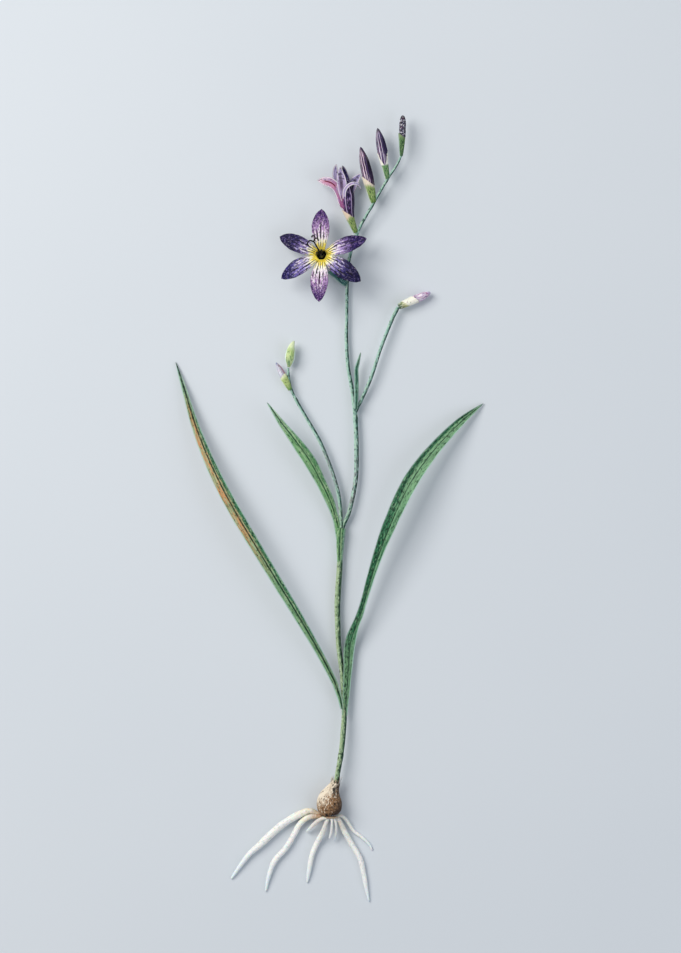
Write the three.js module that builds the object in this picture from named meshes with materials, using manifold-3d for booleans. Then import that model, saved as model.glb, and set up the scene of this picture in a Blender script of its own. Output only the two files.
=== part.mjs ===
// A whole ixia plant, lifted and laid down: corm, roots, leafy stem with two side branches, one open
// flower, one half-open flower and six buds. Millimetres, +Z up, +Y from the corm towards the flowers.
// The origin is on the surface that the plant lies on, in the middle of the flat spot under the corm.
import * as THREE from "three";
import { mergeVertices } from "three/addons/utils/BufferGeometryUtils.js";
import Module from "manifold-3d";

const wasm = await Module();
wasm.setup();

// Driving dimensions
const GAP = 0.3; // clearance between neighbouring pieces
const SLANT = 1.6; // gaps that a cutter grows by across its route to stay one gap off a slanted wall
const LIP_RISE = 3; // gaps that a bract's steep lips grow by in height to stay one gap off a corolla
const BLADE_EDGE = 0.6; // thickness of a leaf or tepal at its margin
const LEAF_RIB = 1.0; // thickness of a leaf at its midrib
const TEPAL_RIB = 0.75; // thickness of a tepal along its middle
const BRACT_WALL = 0.6; // thickness of the cup that a bract makes
const LEAF_FOLD = 0.28; // rise of a leaf's margins over its midrib, per mm of half width
const TEPAL_FOLD = 0.12; // the same for a tepal
const FLOWER_CENTRE = [-3.3, 219.5, 8.2]; // throat of the open flower
const FLOWER_TILT = [-0.18, -0.16, 0]; // how far its face leans, in radians about X and then Y

// Faces round the pieces, and the distance between rings along them
const SIDES = { stem: 8, root: 7, sheath: 10, bud: 12, corm: 20, style: 6, throat: 18 };
const BLADE_STRIPS = 4;
const SPACING = {
  stem: 4.4, root: 2.4, leaf: 5, sheath: 1.6, tepal: 1.85, tube: 1.8, corolla: 1.8, corm: 1.2, style: 0.9,
};

// Routes. Each station is x, y, z and then what changes along the piece, its radius or its half width.
const CORM = [
  [0.5, -4.8, 4.6, 1.4], [0.45, -4.55, 4.6, 3.1], [0.25, -3.4, 4.6, 4.25], [0.05, -1.2, 4.6, 4.85],
  [0, 1.1, 4.6, 4.85], [0.35, 3.2, 4.6, 4.25], [0.95, 5.1, 4.65, 3.2], [1.6, 6.6, 4.75, 2.45],
  [2.15, 7.6, 4.8, 2], [2.45, 8.1, 4.82, 1.8],
];
const CORM_TOOTH = 1; // how far the torn tunic's teeth rise above the neck
const CORM_TEETH = 5;
const TOOTH_LEAN = 0.3; // how far the teeth lean to the right, per mm that they rise
const ROOT_PLATE = { centre: [0.45, -5.5, 4.5], radius: 3.1, taper: 0.8, thickness: 0.8 };
// The roots from left to right at the plate: three long ones, a short one, one that runs down, two short
// ones side by side, the long one on the right and the thin one beyond it.
const ROOTS = [
  [[-1, -5.5, 3.4, 0.9], [-4.4, -4.4, 2.3, 1], [-8.1, -3, 1.6, 1.2], [-12.8, -4.7, 1.5, 1.45],
    [-18.3, -8, 1.55, 1.5], [-23.2, -12.1, 1.5, 1.45], [-27.6, -16.3, 1.4, 1.3], [-32, -20.2, 1.2, 1.1],
    [-35.6, -24.8, 1, 0.85], [-39.5, -30.3, 0.5, 0.4]],
  [[-0.6, -5.6, 4.2, 0.85], [-4.2, -5.1, 3.6, 0.95], [-8.6, -5.6, 2.4, 1.05], [-12, -8.4, 1.6, 1.1],
    [-14.4, -12.8, 1.25, 1.2], [-17.6, -18, 1.2, 1.15], [-21.9, -22.9, 1.15, 1.1], [-24.2, -28.6, 0.95, 0.9],
    [-25.6, -35.4, 0.45, 0.35]],
  [[-0.8, -5.6, 5.6, 0.6], [-3, -5.9, 5.4, 0.6], [-5.6, -7.7, 4, 0.65], [-9.3, -11.5, 1.2, 0.4]],
  [[-0.3, -5.5, 5.2, 0.8], [-1.2, -7.2, 4.8, 0.85], [-2.6, -11.2, 3.2, 1], [-5, -15.8, 1.5, 1.05],
    [-7, -20.6, 1.15, 1.05], [-8.1, -26.4, 0.95, 0.9], [-9, -31.9, 0.45, 0.35]],
  [[0.7, -5.5, 6.2, 0.5], [1, -7.4, 6, 0.5], [0.7, -11.2, 4.8, 0.5], [-0.1, -14, 3.6, 0.35]],
  [[1.5, -5.5, 5.6, 0.5], [2.4, -7.4, 5.3, 0.5], [2.7, -10.8, 4.1, 0.5], [1.9, -14.8, 2, 0.35]],
  [[1.4, -5.5, 4.4, 0.85], [3.7, -6.6, 4, 0.95], [5.8, -10.8, 2.6, 1.05], [8.6, -15.8, 1.4, 1.1],
    [12.1, -21.8, 1.15, 1.1], [13.6, -27.6, 1.05, 0.95], [14.6, -33.2, 0.85, 0.8], [15.8, -39.4, 0.45, 0.35]],
  [[1.6, -5.4, 3.4, 0.65], [4.6, -4.9, 3, 0.65], [7, -7, 2, 0.65], [9.6, -10.9, 0.95, 0.65],
    [13.4, -13.9, 0.8, 0.65], [15.9, -16.4, 0.6, 0.5], [17.1, -18.8, 0.4, 0.3]],
];
const MAIN_STEM = [
  [2.5, 6.4, 4.8, 0.95], [3.1, 11.2, 4.72, 1], [4.15, 17.2, 4.6, 1.03], [5, 23.2, 4.4, 1.05],
  [5.5, 29.2, 4.1, 1.12], [5.85, 36, 3.75, 1.02], [5.2, 50, 2.95, 1], [4.1, 59.4, 2.65, 1],
  [3.55, 65.2, 2.5, 1.06], [3.15, 77, 2.3, 1.15], [3.3, 83, 2.3, 1.2], [3.95, 93, 2.35, 1.18],
  [4.15, 97.6, 2.4, 1.13], [4.4, 102.2, 2.45, 0.75], [5.3, 110.4, 2.5, 0.8], [8, 117.2, 2.5, 0.82],
  [10.4, 129.2, 2.5, 0.92], [10.8, 141, 2.5, 0.95], [10.3, 155, 2.4, 0.9], [9.1, 165.2, 2.3, 0.8],
  [7.3, 176, 2.1, 0.75], [6.75, 187, 1.9, 0.72], [6.9, 194, 1.95, 0.66], [6.95, 201, 2.1, 0.65],
  [7.1, 208, 2.3, 0.68], [7.95, 218.2, 2.9, 0.65], [11.6, 229.4, 3.8, 0.6], [17.6, 240.2, 4.8, 0.55],
  [23.2, 249.8, 5.4, 0.5], [26.9, 255.4, 5.7, 0.45], [28.7, 259.2, 5.9, 0.42],
];
const LEFT_BRANCH = [
  [4.4, 103, 2.45, 0.6], [4.7, 111, 3, 0.72], [4, 121.2, 3.3, 0.76], [2.2, 129.2, 3.4, 0.76],
  [-0.6, 137.2, 3.4, 0.75], [-4, 145.2, 3.2, 0.72], [-8.6, 153.2, 2.9, 0.68], [-13.2, 161.2, 2.6, 0.6],
  [-15.1, 165.2, 2.6, 0.57], [-16.2, 169.4, 2.8, 0.52], [-16.6, 174.3, 3.05, 0.48],
];
const RIGHT_BRANCH = [
  [10.3, 156.5, 2.4, 0.55], [12.7, 161.4, 2.7, 0.66], [15.2, 167, 3, 0.72], [17.3, 172.4, 3.2, 0.7],
  [20.4, 182, 3.3, 0.68], [24.7, 193, 3.1, 0.74], [26.6, 197, 3, 0.78], [27.5, 198.7, 3, 0.7],
];

// Leaf stations hold x, y, z, half width, bank in degrees, and the thickness that the foot adds at the
// margin beside the stem: negative for the left margin.
const LONG_LEFT_LEAF = [
  [5, 38, 3.85, 0.7, 0, 1.6], [4.2, 41.8, 3.95, 0.95, 0, 1.3], [3.05, 45.5, 4.3, 1.1, 3, 0.5],
  [1.65, 49.2, 4.8, 1.25, 6, 0], [-4.6, 61.2, 6.6, 1.5, 14, 0], [-14, 77.2, 8.8, 2, 20, 0],
  [-26.2, 97.2, 10.2, 2.35, 20, 0], [-38.1, 117.2, 9.6, 2.5, 14, 0], [-46.4, 133.2, 7.6, 2.25, 8, 0],
  [-53, 149.2, 5, 1.75, 2, 0], [-58, 165.2, 2.4, 1.05, 0, 0], [-61.6, 176.8, 0.5, 0.25, 0, 0],
];
const BROAD_RIGHT_LEAF = [
  [6.1, 35.4, 3.75, 1.1, 0, -1.9], [6.35, 39.1, 3.5, 1.25, 0, -2.2], [6.8, 44.6, 3.25, 1.45, 0, -2.4],
  [7.1, 50, 3.05, 1.65, 0, -2.4], [7.5, 55.7, 2.85, 1.9, 0, -2.3], [7.8, 61, 2.9, 2.2, 0, -1.6],
  [8.6, 65.6, 3.2, 2.2, -6, -0.6], [10.35, 70.8, 4.1, 1.7, -14, 0], [12.4, 76, 5.1, 1.5, -18, 0],
  [14.1, 81.6, 6, 1.45, -22, 0], [18.8, 97.2, 8.2, 2.05, -22, 0], [24.6, 112.4, 9.4, 2.85, -16, 0],
  [32.4, 128.6, 8.8, 3.2, -10, 0], [41.4, 141.2, 6.6, 2.6, -4, 0], [52, 152.4, 3.4, 1.75, 0, 0],
  [61.6, 160.2, 0.5, 0.3, 0, 0],
];
const UPPER_LEFT_LEAF = [
  [4.1, 106, 2.6, 1.5, 0, 0.8], [2.95, 112.2, 3.15, 1.4, 4, 0.2], [1.85, 115.9, 3.7, 1.4, 8, 0],
  [-0.05, 121.2, 4.7, 1.85, 12, 0], [-3.7, 128.8, 6, 2.15, 16, 0], [-8, 136.8, 7.2, 2.6, 16, 0],
  [-13.6, 144.8, 8, 2.1, 10, 0], [-19.2, 152.2, 8.2, 1.3, 4, 0], [-25, 160.5, 7.8, 0.25, 0, 0],
];
const UPPER_SHEATH = [
  [4.2, 101.2, 2.4, 1.42], [4.4, 105.8, 2.5, 1.68], [4.6, 108.4, 2.6, 1.78], [4.75, 110.4, 2.7, 1.85],
];
const BRACT_LEAF = [
  [10.6, 157.8, 3.9, 0.7, 0, 0.6], [10.75, 163.5, 3.9, 0.85, 0, 0.4], [10.8, 169.4, 3.9, 0.92, -6, 0],
  [10.8, 173.8, 4.1, 0.85, -10, 0], [11.5, 176.6, 4.4, 0.68, -10, 0], [12.5, 180.5, 4.9, 0.2, -10, 0],
];

// Tepals of the open flower, in its own frame: direction in degrees, length, half width, and rise of the
// outer ring.
const OPEN_TEPALS = [
  { turn: 89, length: 18.3, halfWidth: 3.6, lift: 0.25 },
  { turn: 155, length: 18.4, halfWidth: 3.4, lift: -0.25 },
  { turn: 211.2, length: 18.5, halfWidth: 3.3, lift: 0.25 },
  { turn: 267.8, length: 19.4, halfWidth: 3.6, lift: -0.25 },
  { turn: 324.2, length: 20, halfWidth: 3.75, lift: 0.25 },
  { turn: 17.2, length: 19.4, halfWidth: 3.3, lift: -0.25 },
];
// Along a tepal of unit length: distance out, height, share of the full half width.
const TEPAL_PROFILE = [
  [0.085, -1.8, 0.42], [0.11, -0.5, 0.42], [0.2, 0.7, 0.55], [0.36, 1.7, 0.86], [0.58, 2.3, 1],
  [0.76, 2.2, 0.84], [0.91, 1.7, 0.48], [1, 1.2, 0.1],
];
const FLOWER_TUBE = [
  [6.9, -7.6, -7.9, 0.85], [4.3, -4.9, -7.5, 1], [1.9, -2.2, -6.2, 1.3], [0.5, -0.6, -4.2, 1.75],
  [0.05, -0.05, -2, 2.2], [0, 0, 0.3, 2.5],
];
const THROAT = { top: 2.1, bottom: 1.6, floor: -2.4, rim: 1.2 };
const STAMEN_RING = { inner: 0.68, outer: 1.3, from: -2.1, to: -1.3 };
// Filament and anther of a stamen: distance from the flower's axis, height and radius.
const STAMEN_TURNS = [57, 177, 297];
const STAMEN = [
  [1, -1.8, 0.3], [1, -1.3, 0.3], [1.2, 0.6, 0.3], [1.2, 1.2, 0.42], [1.2, 2.5, 0.42], [1.16, 3.9, 0.38],
  [1.12, 4.4, 0.15],
];
const STYLE = [
  [0, 0, -2.1, 0.34], [0, 0, -0.6, 0.34], [-0.2, 0.5, 1.4, 0.32], [-1, 2.2, 3.6, 0.3],
  [-2.2, 4.5, 5.4, 0.3],
];
const STYLE_BRANCHES = [
  [
    [-2.1, 4.3, 5.3, 0.3], [-1.6, 5.5, 6.1, 0.3], [-1.9, 6.4, 6.1, 0.3], [-2.7, 6.6, 5.6, 0.3],
    [-3, 6.1, 5.1, 0.3],
  ],
  [
    [-2.1, 4.3, 5.3, 0.3], [-1.4, 5.4, 6.2, 0.3], [-0.5, 5.3, 6.3, 0.3], [-0.1, 4.4, 5.7, 0.3],
  ],
  [
    [-2.1, 4.3, 5.3, 0.3], [-3.6, 4.6, 6, 0.3], [-4.6, 3.6, 6, 0.3], [-4.3, 2.6, 5.3, 0.3],
  ],
];

// Half-open flower: the tube with its furled core, and tepals as x, y, z, half width and bank, with the
// direction that runs across each one.
const HALF_TUBE = [
  [9.6, 231.4, 4.4, 0.9], [8.3, 234.4, 4.6, 1.7], [7.4, 237.3, 4.8, 2.45], [7.05, 240, 4.9, 2.9],
  [6.75, 243.5, 5.05, 3], [6.3, 246.5, 5.2, 2.4], [5.6, 249.8, 5.3, 1.2],
];
const HALF_TEPALS = [
  { across: [0.45, 0.85, 0.3],
    stations: [
      [7.2, 237, 4.9, 0.9, 0], [5, 240.6, 5.2, 1.3, 0], [3.6, 244.4, 5.6, 1.35, 0], [1.6, 247.7, 6, 1.9, 0],
      [-1.5, 249, 6, 2, 0], [-4.9, 249.3, 5.3, 0.4, 0],
    ] },
  { across: [1, 0.2, 0],
    stations: [
      [6.2, 241, 4.2, 1.2, 0], [3.9, 246.4, 3.9, 1.8, 0], [2.9, 250, 4, 1.6, 0],
      [2.35, 253.2, 4.2, 1.05, 0], [2.7, 255.8, 4.4, 0.3, 0],
    ] },
  { across: [1, 0.2, 0.1],
    stations: [
      [5.6, 241, 6.9, 0.8, 0], [5, 244.5, 7.4, 1.2, 0], [4.75, 247.4, 7.5, 1.55, 0],
      [4.5, 250, 7.2, 1.5, 0], [4.4, 252.4, 6.8, 1, 0], [4.45, 254.7, 6.4, 0.3, 0],
    ] },
  { across: [0.9, 0.2, -0.4],
    stations: [
      [7.6, 241, 5.6, 1.4, 0], [7.3, 246, 5.9, 1.7, 0], [6.6, 250, 5.8, 1.5, 0], [5.9, 253, 5.6, 1, 0],
      [5.2, 255.2, 5.4, 0.3, 0],
    ] },
  { across: [0.85, -0.5, 0.2],
    stations: [
      [8.2, 240, 4.2, 1.2, 0], [8.5, 244.6, 3.6, 1.5, 0], [10, 248.9, 3.5, 1.85, 0],
      [12.5, 252, 3.4, 0.45, 0],
    ] },
  { across: [0.4, -0.1, 0.9],
    stations: [
      [6.6, 239.2, 6.9, 0.6, 55], [5.9, 242.5, 7.8, 0.7, 55], [6.2, 245.3, 8.4, 0.75, 55],
      [7.7, 247.2, 8.8, 0.75, 55], [9.7, 248, 8.8, 0.75, 55], [11.5, 247.4, 8.3, 0.75, 50],
      [12.6, 245.4, 7.3, 0.3, 40],
    ] },
];

// Buds and flowers in their bracts. The axis runs from foot to tip. The bract is a cup of the given
// radius whose rim stands at reach and rises by lip on the side that lipTurn names, in degrees round the
// axis from +Z to the left, or where lips is 2, on that side and the opposite one. A corolla is the radius
// of the furled petals inside it, blunt makes them fuller towards their tip, and slant is how many gaps they
// keep off steep lips.
const BUDS = {
  spike_bud_1: {
    foot: [17.6, 240.4, 4.9], tip: [12.4, 262.7, 5.6],
    bract: 2.25, reach: 6.4, lip: 4.6, lipTurn: 90, corolla: 2.3,
  },
  spike_bud_2: {
    foot: [23.2, 250, 5.5], tip: [19.2, 270.2, 6.2],
    bract: 2.1, reach: 5.4, lip: 5.2, lipTurn: 90, lips: 2, sharp: 1.2, narrow: 0.45, swell: 1.2, floor: 0.55,
    corolla: 2.2, slant: SLANT,
  },
  spike_bud_3: {
    foot: [28.7, 259, 5.9], tip: [29.3, 275.3, 6.4],
    bract: 1.5, reach: 7.2, lip: 1.8, lipTurn: 90, swell: 0.8, floor: 0.6, corolla: 1.4, blunt: 1,
  },
  right_bud: {
    foot: [27.6, 198.9, 3], tip: [40.4, 204.6, 2.6],
    bract: 1.75, reach: 6, lip: 2.2, lipTurn: -60, narrow: 0.55, swell: 0.3, corolla: 1.75, blunt: 0.4,
  },
  left_bud: {
    foot: [-15.7, 165.5, 3], tip: [-21.4, 176.5, 3.4],
    bract: 1.7, reach: 5.6, lip: 1.2, lipTurn: -70, corolla: 1.35,
  },
};
const OPEN_BRACT = {
  foot: [6.6, 207.6, 3], tip: [-0.6, 215.2, 3.6], bract: 1.95, reach: 6.2, lip: 2.4, lipTurn: 60,
};
const HALF_BRACT = {
  foot: [10.5, 228.4, 4.1], tip: [3.5, 246.8, 5], bract: 2, reach: 5.8, lip: 4.4, lipTurn: 90, swell: 0.7,
};
const CLOSED_BUD = [
  [-16.4, 174.6, 3.1, 0.5], [-16.1, 176, 3.1, 1.25], [-15.9, 178, 3.2, 1.9], [-15.55, 180.8, 3.4, 1.78],
  [-15.1, 183, 3.6, 1.2], [-14.4, 184.6, 3.7, 0.55], [-14.1, 185.2, 3.7, 0.25],
];
// Height along a furled corolla as a share of its length, and its radius as a share of the full radius.
// It starts inside its bract, at a share of the bract's reach. Its petals wind round each other as
// ridges.
const FURLED_PROFILE = [
  [0, 0.55], [0.16, 0.82], [0.36, 1], [0.56, 0.97], [0.76, 0.8], [0.92, 0.4], [1, 0.13],
];
const BLUNTING = { gain: 1.25, power: 6 }; // a blunt bud's radius grows by blunt * gain * height ^ power
const FURLED_FROM = 0.4;
const FURL = { folds: 3, depth: 0.09, twist: 2.2 };
// Heights of a bract's rings up the outside of its cup, as a share of its reach, and the sizes that a bract
// has unless it names its own: one lip, the power that makes the lip sharper or blunter, its radius at the
// foot as a share of the largest one, the power that the radius grows by with the height, and the share of
// its reach at which the hollow in it ends.
const CUP_OUTSIDE = [0, 0.12, 0.34, 0.64, 1];
const CUP = { lips: 1, sharp: 2, narrow: 0.4, swell: 0.5, floor: 0.42 };
const GROUND = { width: 40, depth: 20 }; // the block that cuts the corm flat where it lies

// Small helpers
const MERGE = 1e-4; // corners this near each other are one
const UP = new THREE.Vector3(0, 0, 1);
const ACROSS = new THREE.Vector3(1, 0, 0);
const vector = (point) => new THREE.Vector3(...point);
const spline = (rows) => new THREE.CatmullRomCurve3(rows.map(vector), false, "catmullrom", 0.5);
const radians = THREE.MathUtils.degToRad;

// Points of a circle as offsets across and above a route.
function circle(radius, sides) {
  return Array.from({ length: sides }, (_, j) => {
    const turn = (2 * Math.PI * j) / sides;
    return [radius * Math.cos(turn), radius * Math.sin(turn)];
  });
}

// A closed body from rings of points, one after another. A blade's ring is its upper face and then its
// lower face back again, and both faces are split along the same diagonals, so a thin blade never crosses
// itself.
function loft(rings, blade = false) {
  const count = rings[0].length;
  const points = rings.flat();
  const faces = [];
  const at = (ring, place) => ring * count + (place % count);
  for (let i = 0; i + 1 < rings.length; i++)
    for (let j = 0; j < count; j++) {
      const [a, b, c, d] = [at(i, j), at(i, j + 1), at(i + 1, j + 1), at(i + 1, j)];
      faces.push(...(blade && j >= count / 2 ? [a, b, d, b, c, d] : [a, b, c, a, c, d]));
    }
  for (const end of [0, rings.length - 1]) {
    const close = (a, b, c) => faces.push(...(end ? [a, b, c] : [a, c, b]));
    if (blade) {
      for (let j = 0; j + 1 < count / 2; j++) {
        const [a, b, c, d] = [at(end, j), at(end, j + 1), at(end, count - 2 - j), at(end, count - 1 - j)];
        close(a, b, c);
        close(a, c, d);
      }
    } else {
      const centre = rings[end].reduce((sum, p) => sum.add(p), new THREE.Vector3()).divideScalar(count);
      points.push(centre);
      for (let j = 0; j < count; j++) close(at(end, j), at(end, j + 1), points.length - 1);
    }
  }
  const geometry = new THREE.BufferGeometry().setFromPoints(points);
  geometry.setIndex(faces);
  return geometry;
}

// The closed geometry as a solid for joining and cutting, turned to face outwards.
function solid(geometry) {
  const shape = geometry.clone();
  shape.deleteAttribute("normal");
  shape.deleteAttribute("uv");
  const merged = mergeVertices(shape, MERGE);
  const vertProperties = merged.attributes.position.array;
  const build = (triVerts) => new wasm.Manifold(new wasm.Mesh({ numProp: 3, vertProperties, triVerts }));
  const faces = new Uint32Array(merged.index.array);
  const made = build(faces);
  return made.volume() < 0 ? build(faces.reverse()) : made;
}

const joined = (solids) => solids.reduce((sum, next) => sum.add(next));

// The biggest of the bodies that a cut leaves.
function biggest(shape) {
  return shape.decompose().reduce((best, body) => (body.volume() > best.volume() ? body : best));
}

// Rings along a route of stations. The section gives each ring's points as offsets across and above the
// route, from what the station says besides its place, and side is the direction that "across" keeps to.
// A piece that is grown to cut its neighbour runs past both of its ends too.
function rings(stations, spacing, side, section, grow = 0) {
  const route = spline(stations.map((row) => row.slice(0, 3)));
  const trim = spline(stations.map((row) => [...row.slice(3), 0, 0].slice(0, 3)));
  const steps = Math.ceil(route.getLength() / spacing);
  return Array.from({ length: steps + 1 }, (_, i) => {
    const place = route.getPoint(i / steps);
    const along = route.getTangent(i / steps);
    const values = trim.getPoint(i / steps);
    const across = (side ?? along.clone().cross(UP)).clone();
    across.addScaledVector(along, -across.dot(along)).normalize();
    across.applyAxisAngle(along, radians(values.y));
    const above = across.clone().cross(along);
    const overrun = i === 0 ? -grow : i === steps ? grow : 0;
    place.addScaledVector(along, overrun);
    return section(values, i / steps).map(([a, b]) =>
      place.clone().addScaledVector(across, a).addScaledVector(above, b));
  });
}

// A round stem or root whose radius changes along its route, grown by a margin where it is used as a
// cutter.
function tube(stations, spacing, sides, { side = null, grow = 0 } = {}) {
  return solid(loft(rings(stations, spacing, side, ({ x: radius }) => circle(radius + grow, sides), grow)));
}

// A thin blade with a raised midrib, its margins lifted by the fold, and thicker at one margin by the foot.
function blade(stations, spacing, { side = null, fold, rib, grow = 0 }) {
  return solid(loft(rings(stations, spacing, side, ({ x: halfWidth, z: foot }) => {
    const face = (sign) =>
      Array.from({ length: BLADE_STRIPS + 1 }, (_, k) => {
        const a = -1 + (2 * k) / BLADE_STRIPS;
        const ribbed = BLADE_EDGE + (rib - BLADE_EDGE) * (1 - Math.abs(a));
        const thickness = ribbed + (Math.abs(foot) * (1 + Math.sign(foot) * a)) / 2;
        const middle = fold * halfWidth * Math.abs(a) * Math.max(0, 1 - Math.abs(foot));
        return [a * (halfWidth + grow), middle + sign * (thickness / 2 + grow)];
      });
    return [...face(1), ...face(-1).reverse()];
  }, grow), true));
}

function leafBlade(stations, grow = 0) {
  return blade(stations, SPACING.leaf, { fold: LEAF_FOLD, rib: LEAF_RIB, grow });
}

function tepalBlade(stations, side) {
  return blade(stations, SPACING.tepal, { side, fold: TEPAL_FOLD, rib: TEPAL_RIB });
}

// Straight axis of a bud as stations at the given heights, each with its radius.
function axisStations({ foot, tip }, profile) {
  const along = vector(tip).sub(vector(foot)).normalize();
  return profile.map(([height, radius]) => {
    const place = vector(foot).addScaledVector(along, height);
    return [...place.toArray(), radius];
  });
}

// A furled corolla: a spindle whose petals wind round each other as ridges.
function furled(bud) {
  const from = bud.reach * FURLED_FROM;
  const span = vector(bud.tip).distanceTo(vector(bud.foot)) - from;
  const fuller = (t) => 1 + (bud.blunt ?? 0) * BLUNTING.gain * t ** BLUNTING.power;
  const profile = FURLED_PROFILE.map(([t, r]) => [from + t * span, r * fuller(t) * bud.corolla]);
  const stations = axisStations(bud, profile);
  return solid(loft(rings(stations, SPACING.corolla, ACROSS, ({ x: radius }, t) =>
    circle(radius, SIDES.bud).map(([a, b], j) => {
      const turn = (2 * Math.PI * j) / SIDES.bud;
      const ridge = 1 - FURL.depth + FURL.depth * Math.cos(FURL.folds * (turn + FURL.twist * t));
      return [a * ridge, b * ridge];
    }))));
}

// A bract: solid round the ovary at its foot, and above that a cup whose rim rises into one lip or two.
function bractCup(sizes, grow = 0) {
  const { foot, tip, bract, reach, lip, lipTurn, lips, sharp, narrow, swell, floor } = { ...CUP, ...sizes };
  const start = vector(foot);
  const along = vector(tip).sub(start).normalize();
  const above = UP.clone().addScaledVector(along, -UP.dot(along)).normalize();
  const across = above.clone().cross(along);
  const ring = (t, inset, rise) =>
    Array.from({ length: SIDES.bud }, (_, j) => {
      const turn = (2 * Math.PI * j) / SIDES.bud;
      const crest = Math.abs(Math.cos(((turn - radians(lipTurn)) * lips) / 2)) ** sharp;
      const height = t * reach + lip * crest * t ** 3;
      const radius = (narrow + (1 - narrow) * (height / (reach + lip)) ** swell) * bract - inset;
      return start.clone().addScaledVector(along, height + rise)
        .addScaledVector(above, radius * Math.cos(turn)).addScaledVector(across, radius * Math.sin(turn));
    });
  const outer = CUP_OUTSIDE.map((t) => ring(t, -grow, t === 1 ? LIP_RISE * grow : 0));
  const inner = [1, (1 + floor) / 2, floor].map((t) => ring(t, BRACT_WALL + grow, LIP_RISE * grow));
  return solid(loft([...outer, ...inner]));
}

// Corm: a teardrop with a toothed neck, flat where it lies, with the socket that the stem grows out of.
function cormBody(grow = 0) {
  const section = ({ x: radius }) => circle(radius + grow, SIDES.corm);
  const body = rings(CORM, SPACING.corm, ACROSS, section, grow);
  body.at(-1).forEach((point, j) => {
    const rise = CORM_TOOTH * Math.abs(Math.sin((Math.PI * CORM_TEETH * j) / SIDES.corm));
    point.add(new THREE.Vector3(TOOTH_LEAN * rise, rise, 0));
  });
  return solid(loft(body));
}

function corm() {
  const { width, depth } = GROUND;
  const ground = new THREE.BoxGeometry(width, width, depth).translate(0, 0, -depth / 2);
  return cormBody().subtract(solid(ground)).subtract(mainStem(GAP));
}

// Roots: eight tapered tubes sunk in the root plate under the corm, clear of the corm itself.
function roots() {
  const { centre, radius, taper, thickness } = ROOT_PLATE;
  const plate = new THREE.CylinderGeometry(radius, radius * taper, thickness, SIDES.throat);
  plate.translate(...centre);
  const strands = ROOTS.map((stations) => tube(stations, SPACING.root, SIDES.root, { side: UP }));
  return biggest(joined([solid(plate), ...strands]).subtract(cormBody(SLANT * GAP)));
}

const mainStem = (grow = 0) => tube(MAIN_STEM, SPACING.stem, SIDES.stem, { grow });

function stem(grow = 0) {
  const branch = (route) => tube(route, SPACING.stem, SIDES.stem, { grow });
  return joined([mainStem(grow), branch(LEFT_BRANCH), branch(RIGHT_BRANCH)]);
}

// What a leaf or bract keeps once room is made for the stem that it clasps or grows from.
const clasping = (shape) => biggest(shape.subtract(stem(GAP)));

function longLeftLeaf() {
  return clasping(biggest(leafBlade(LONG_LEFT_LEAF).subtract(leafBlade(BROAD_RIGHT_LEAF, GAP))));
}

function upperLeftLeaf() {
  return clasping(leafBlade(UPPER_LEFT_LEAF).add(tube(UPPER_SHEATH, SPACING.sheath, SIDES.sheath)));
}

// A solid of the open flower, from the flower's own frame to the plant's.
function fromFlowerFrame(shape) {
  const pose = new THREE.Matrix4().makeRotationFromEuler(new THREE.Euler(...FLOWER_TILT));
  return shape.transform(pose.setPosition(...FLOWER_CENTRE).elements);
}

// A tepal of the open flower, from its profile. The outer ring of three starts lower than the inner ring.
function openTepal({ turn, length, halfWidth, lift }) {
  const out = new THREE.Vector3(Math.cos(radians(turn)), Math.sin(radians(turn)), 0);
  const stations = TEPAL_PROFILE.map(([reach, height, share]) => {
    const place = out.clone().multiplyScalar(length * reach).setZ(height + lift);
    return [...place.toArray(), share * halfWidth];
  });
  return tepalBlade(stations, out.clone().cross(UP));
}

// Perianth of the open flower: six spreading tepals on a curved tube, hollowed at the throat.
function openPerianth() {
  const flowerTube = tube(FLOWER_TUBE, SPACING.tube, SIDES.bud, { side: ACROSS });
  const { top, bottom, floor, rim } = THROAT;
  const throat = new THREE.CylinderGeometry(top, bottom, rim - floor, SIDES.throat).rotateX(Math.PI / 2)
    .translate(0, 0, (rim + floor) / 2);
  const flower = joined([flowerTube, ...OPEN_TEPALS.map(openTepal)]).subtract(solid(throat));
  return biggest(fromFlowerFrame(flower).subtract(bractCup(OPEN_BRACT, GAP)));
}

// Stamens: three dark anthers on filaments that rise from one ring round the style.
function stamens() {
  const { inner, outer, from, to } = STAMEN_RING;
  const outline = [[inner, from], [outer, from], [outer, to], [inner, to], [inner, from]];
  const ring = new THREE.LatheGeometry(outline.map((point) => new THREE.Vector2(...point)), SIDES.throat)
    .rotateX(Math.PI / 2);
  const filaments = STAMEN_TURNS.map((turn) => {
    const [x, y] = [Math.cos(radians(turn)), Math.sin(radians(turn))];
    const stations = STAMEN.map(([out, height, radius]) => [x * out, y * out, height, radius]);
    return tube(stations, SPACING.style, SIDES.style, { side: ACROSS });
  });
  return fromFlowerFrame(joined([solid(ring), ...filaments]));
}

function style() {
  const strand = (stations) => tube(stations, SPACING.style, SIDES.style, { side: ACROSS });
  return fromFlowerFrame(joined([STYLE, ...STYLE_BRANCHES].map(strand)));
}

// Perianth of the half-open flower: its tube with six tepals sunk in it, clear of its bract.
function halfOpenPerianth() {
  const tepals = HALF_TEPALS.map(({ across, stations }) => tepalBlade(stations, vector(across)));
  const core = tube(HALF_TUBE, SPACING.tube, SIDES.bud, { side: UP });
  return biggest(joined([core, ...tepals]).subtract(bractCup(HALF_BRACT, GAP)));
}

// Corolla of a bud, as much of it as its bract leaves room for.
const corolla = (bud) => biggest(furled(bud).subtract(bractCup(bud, (bud.slant ?? 1) * GAP)));

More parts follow.
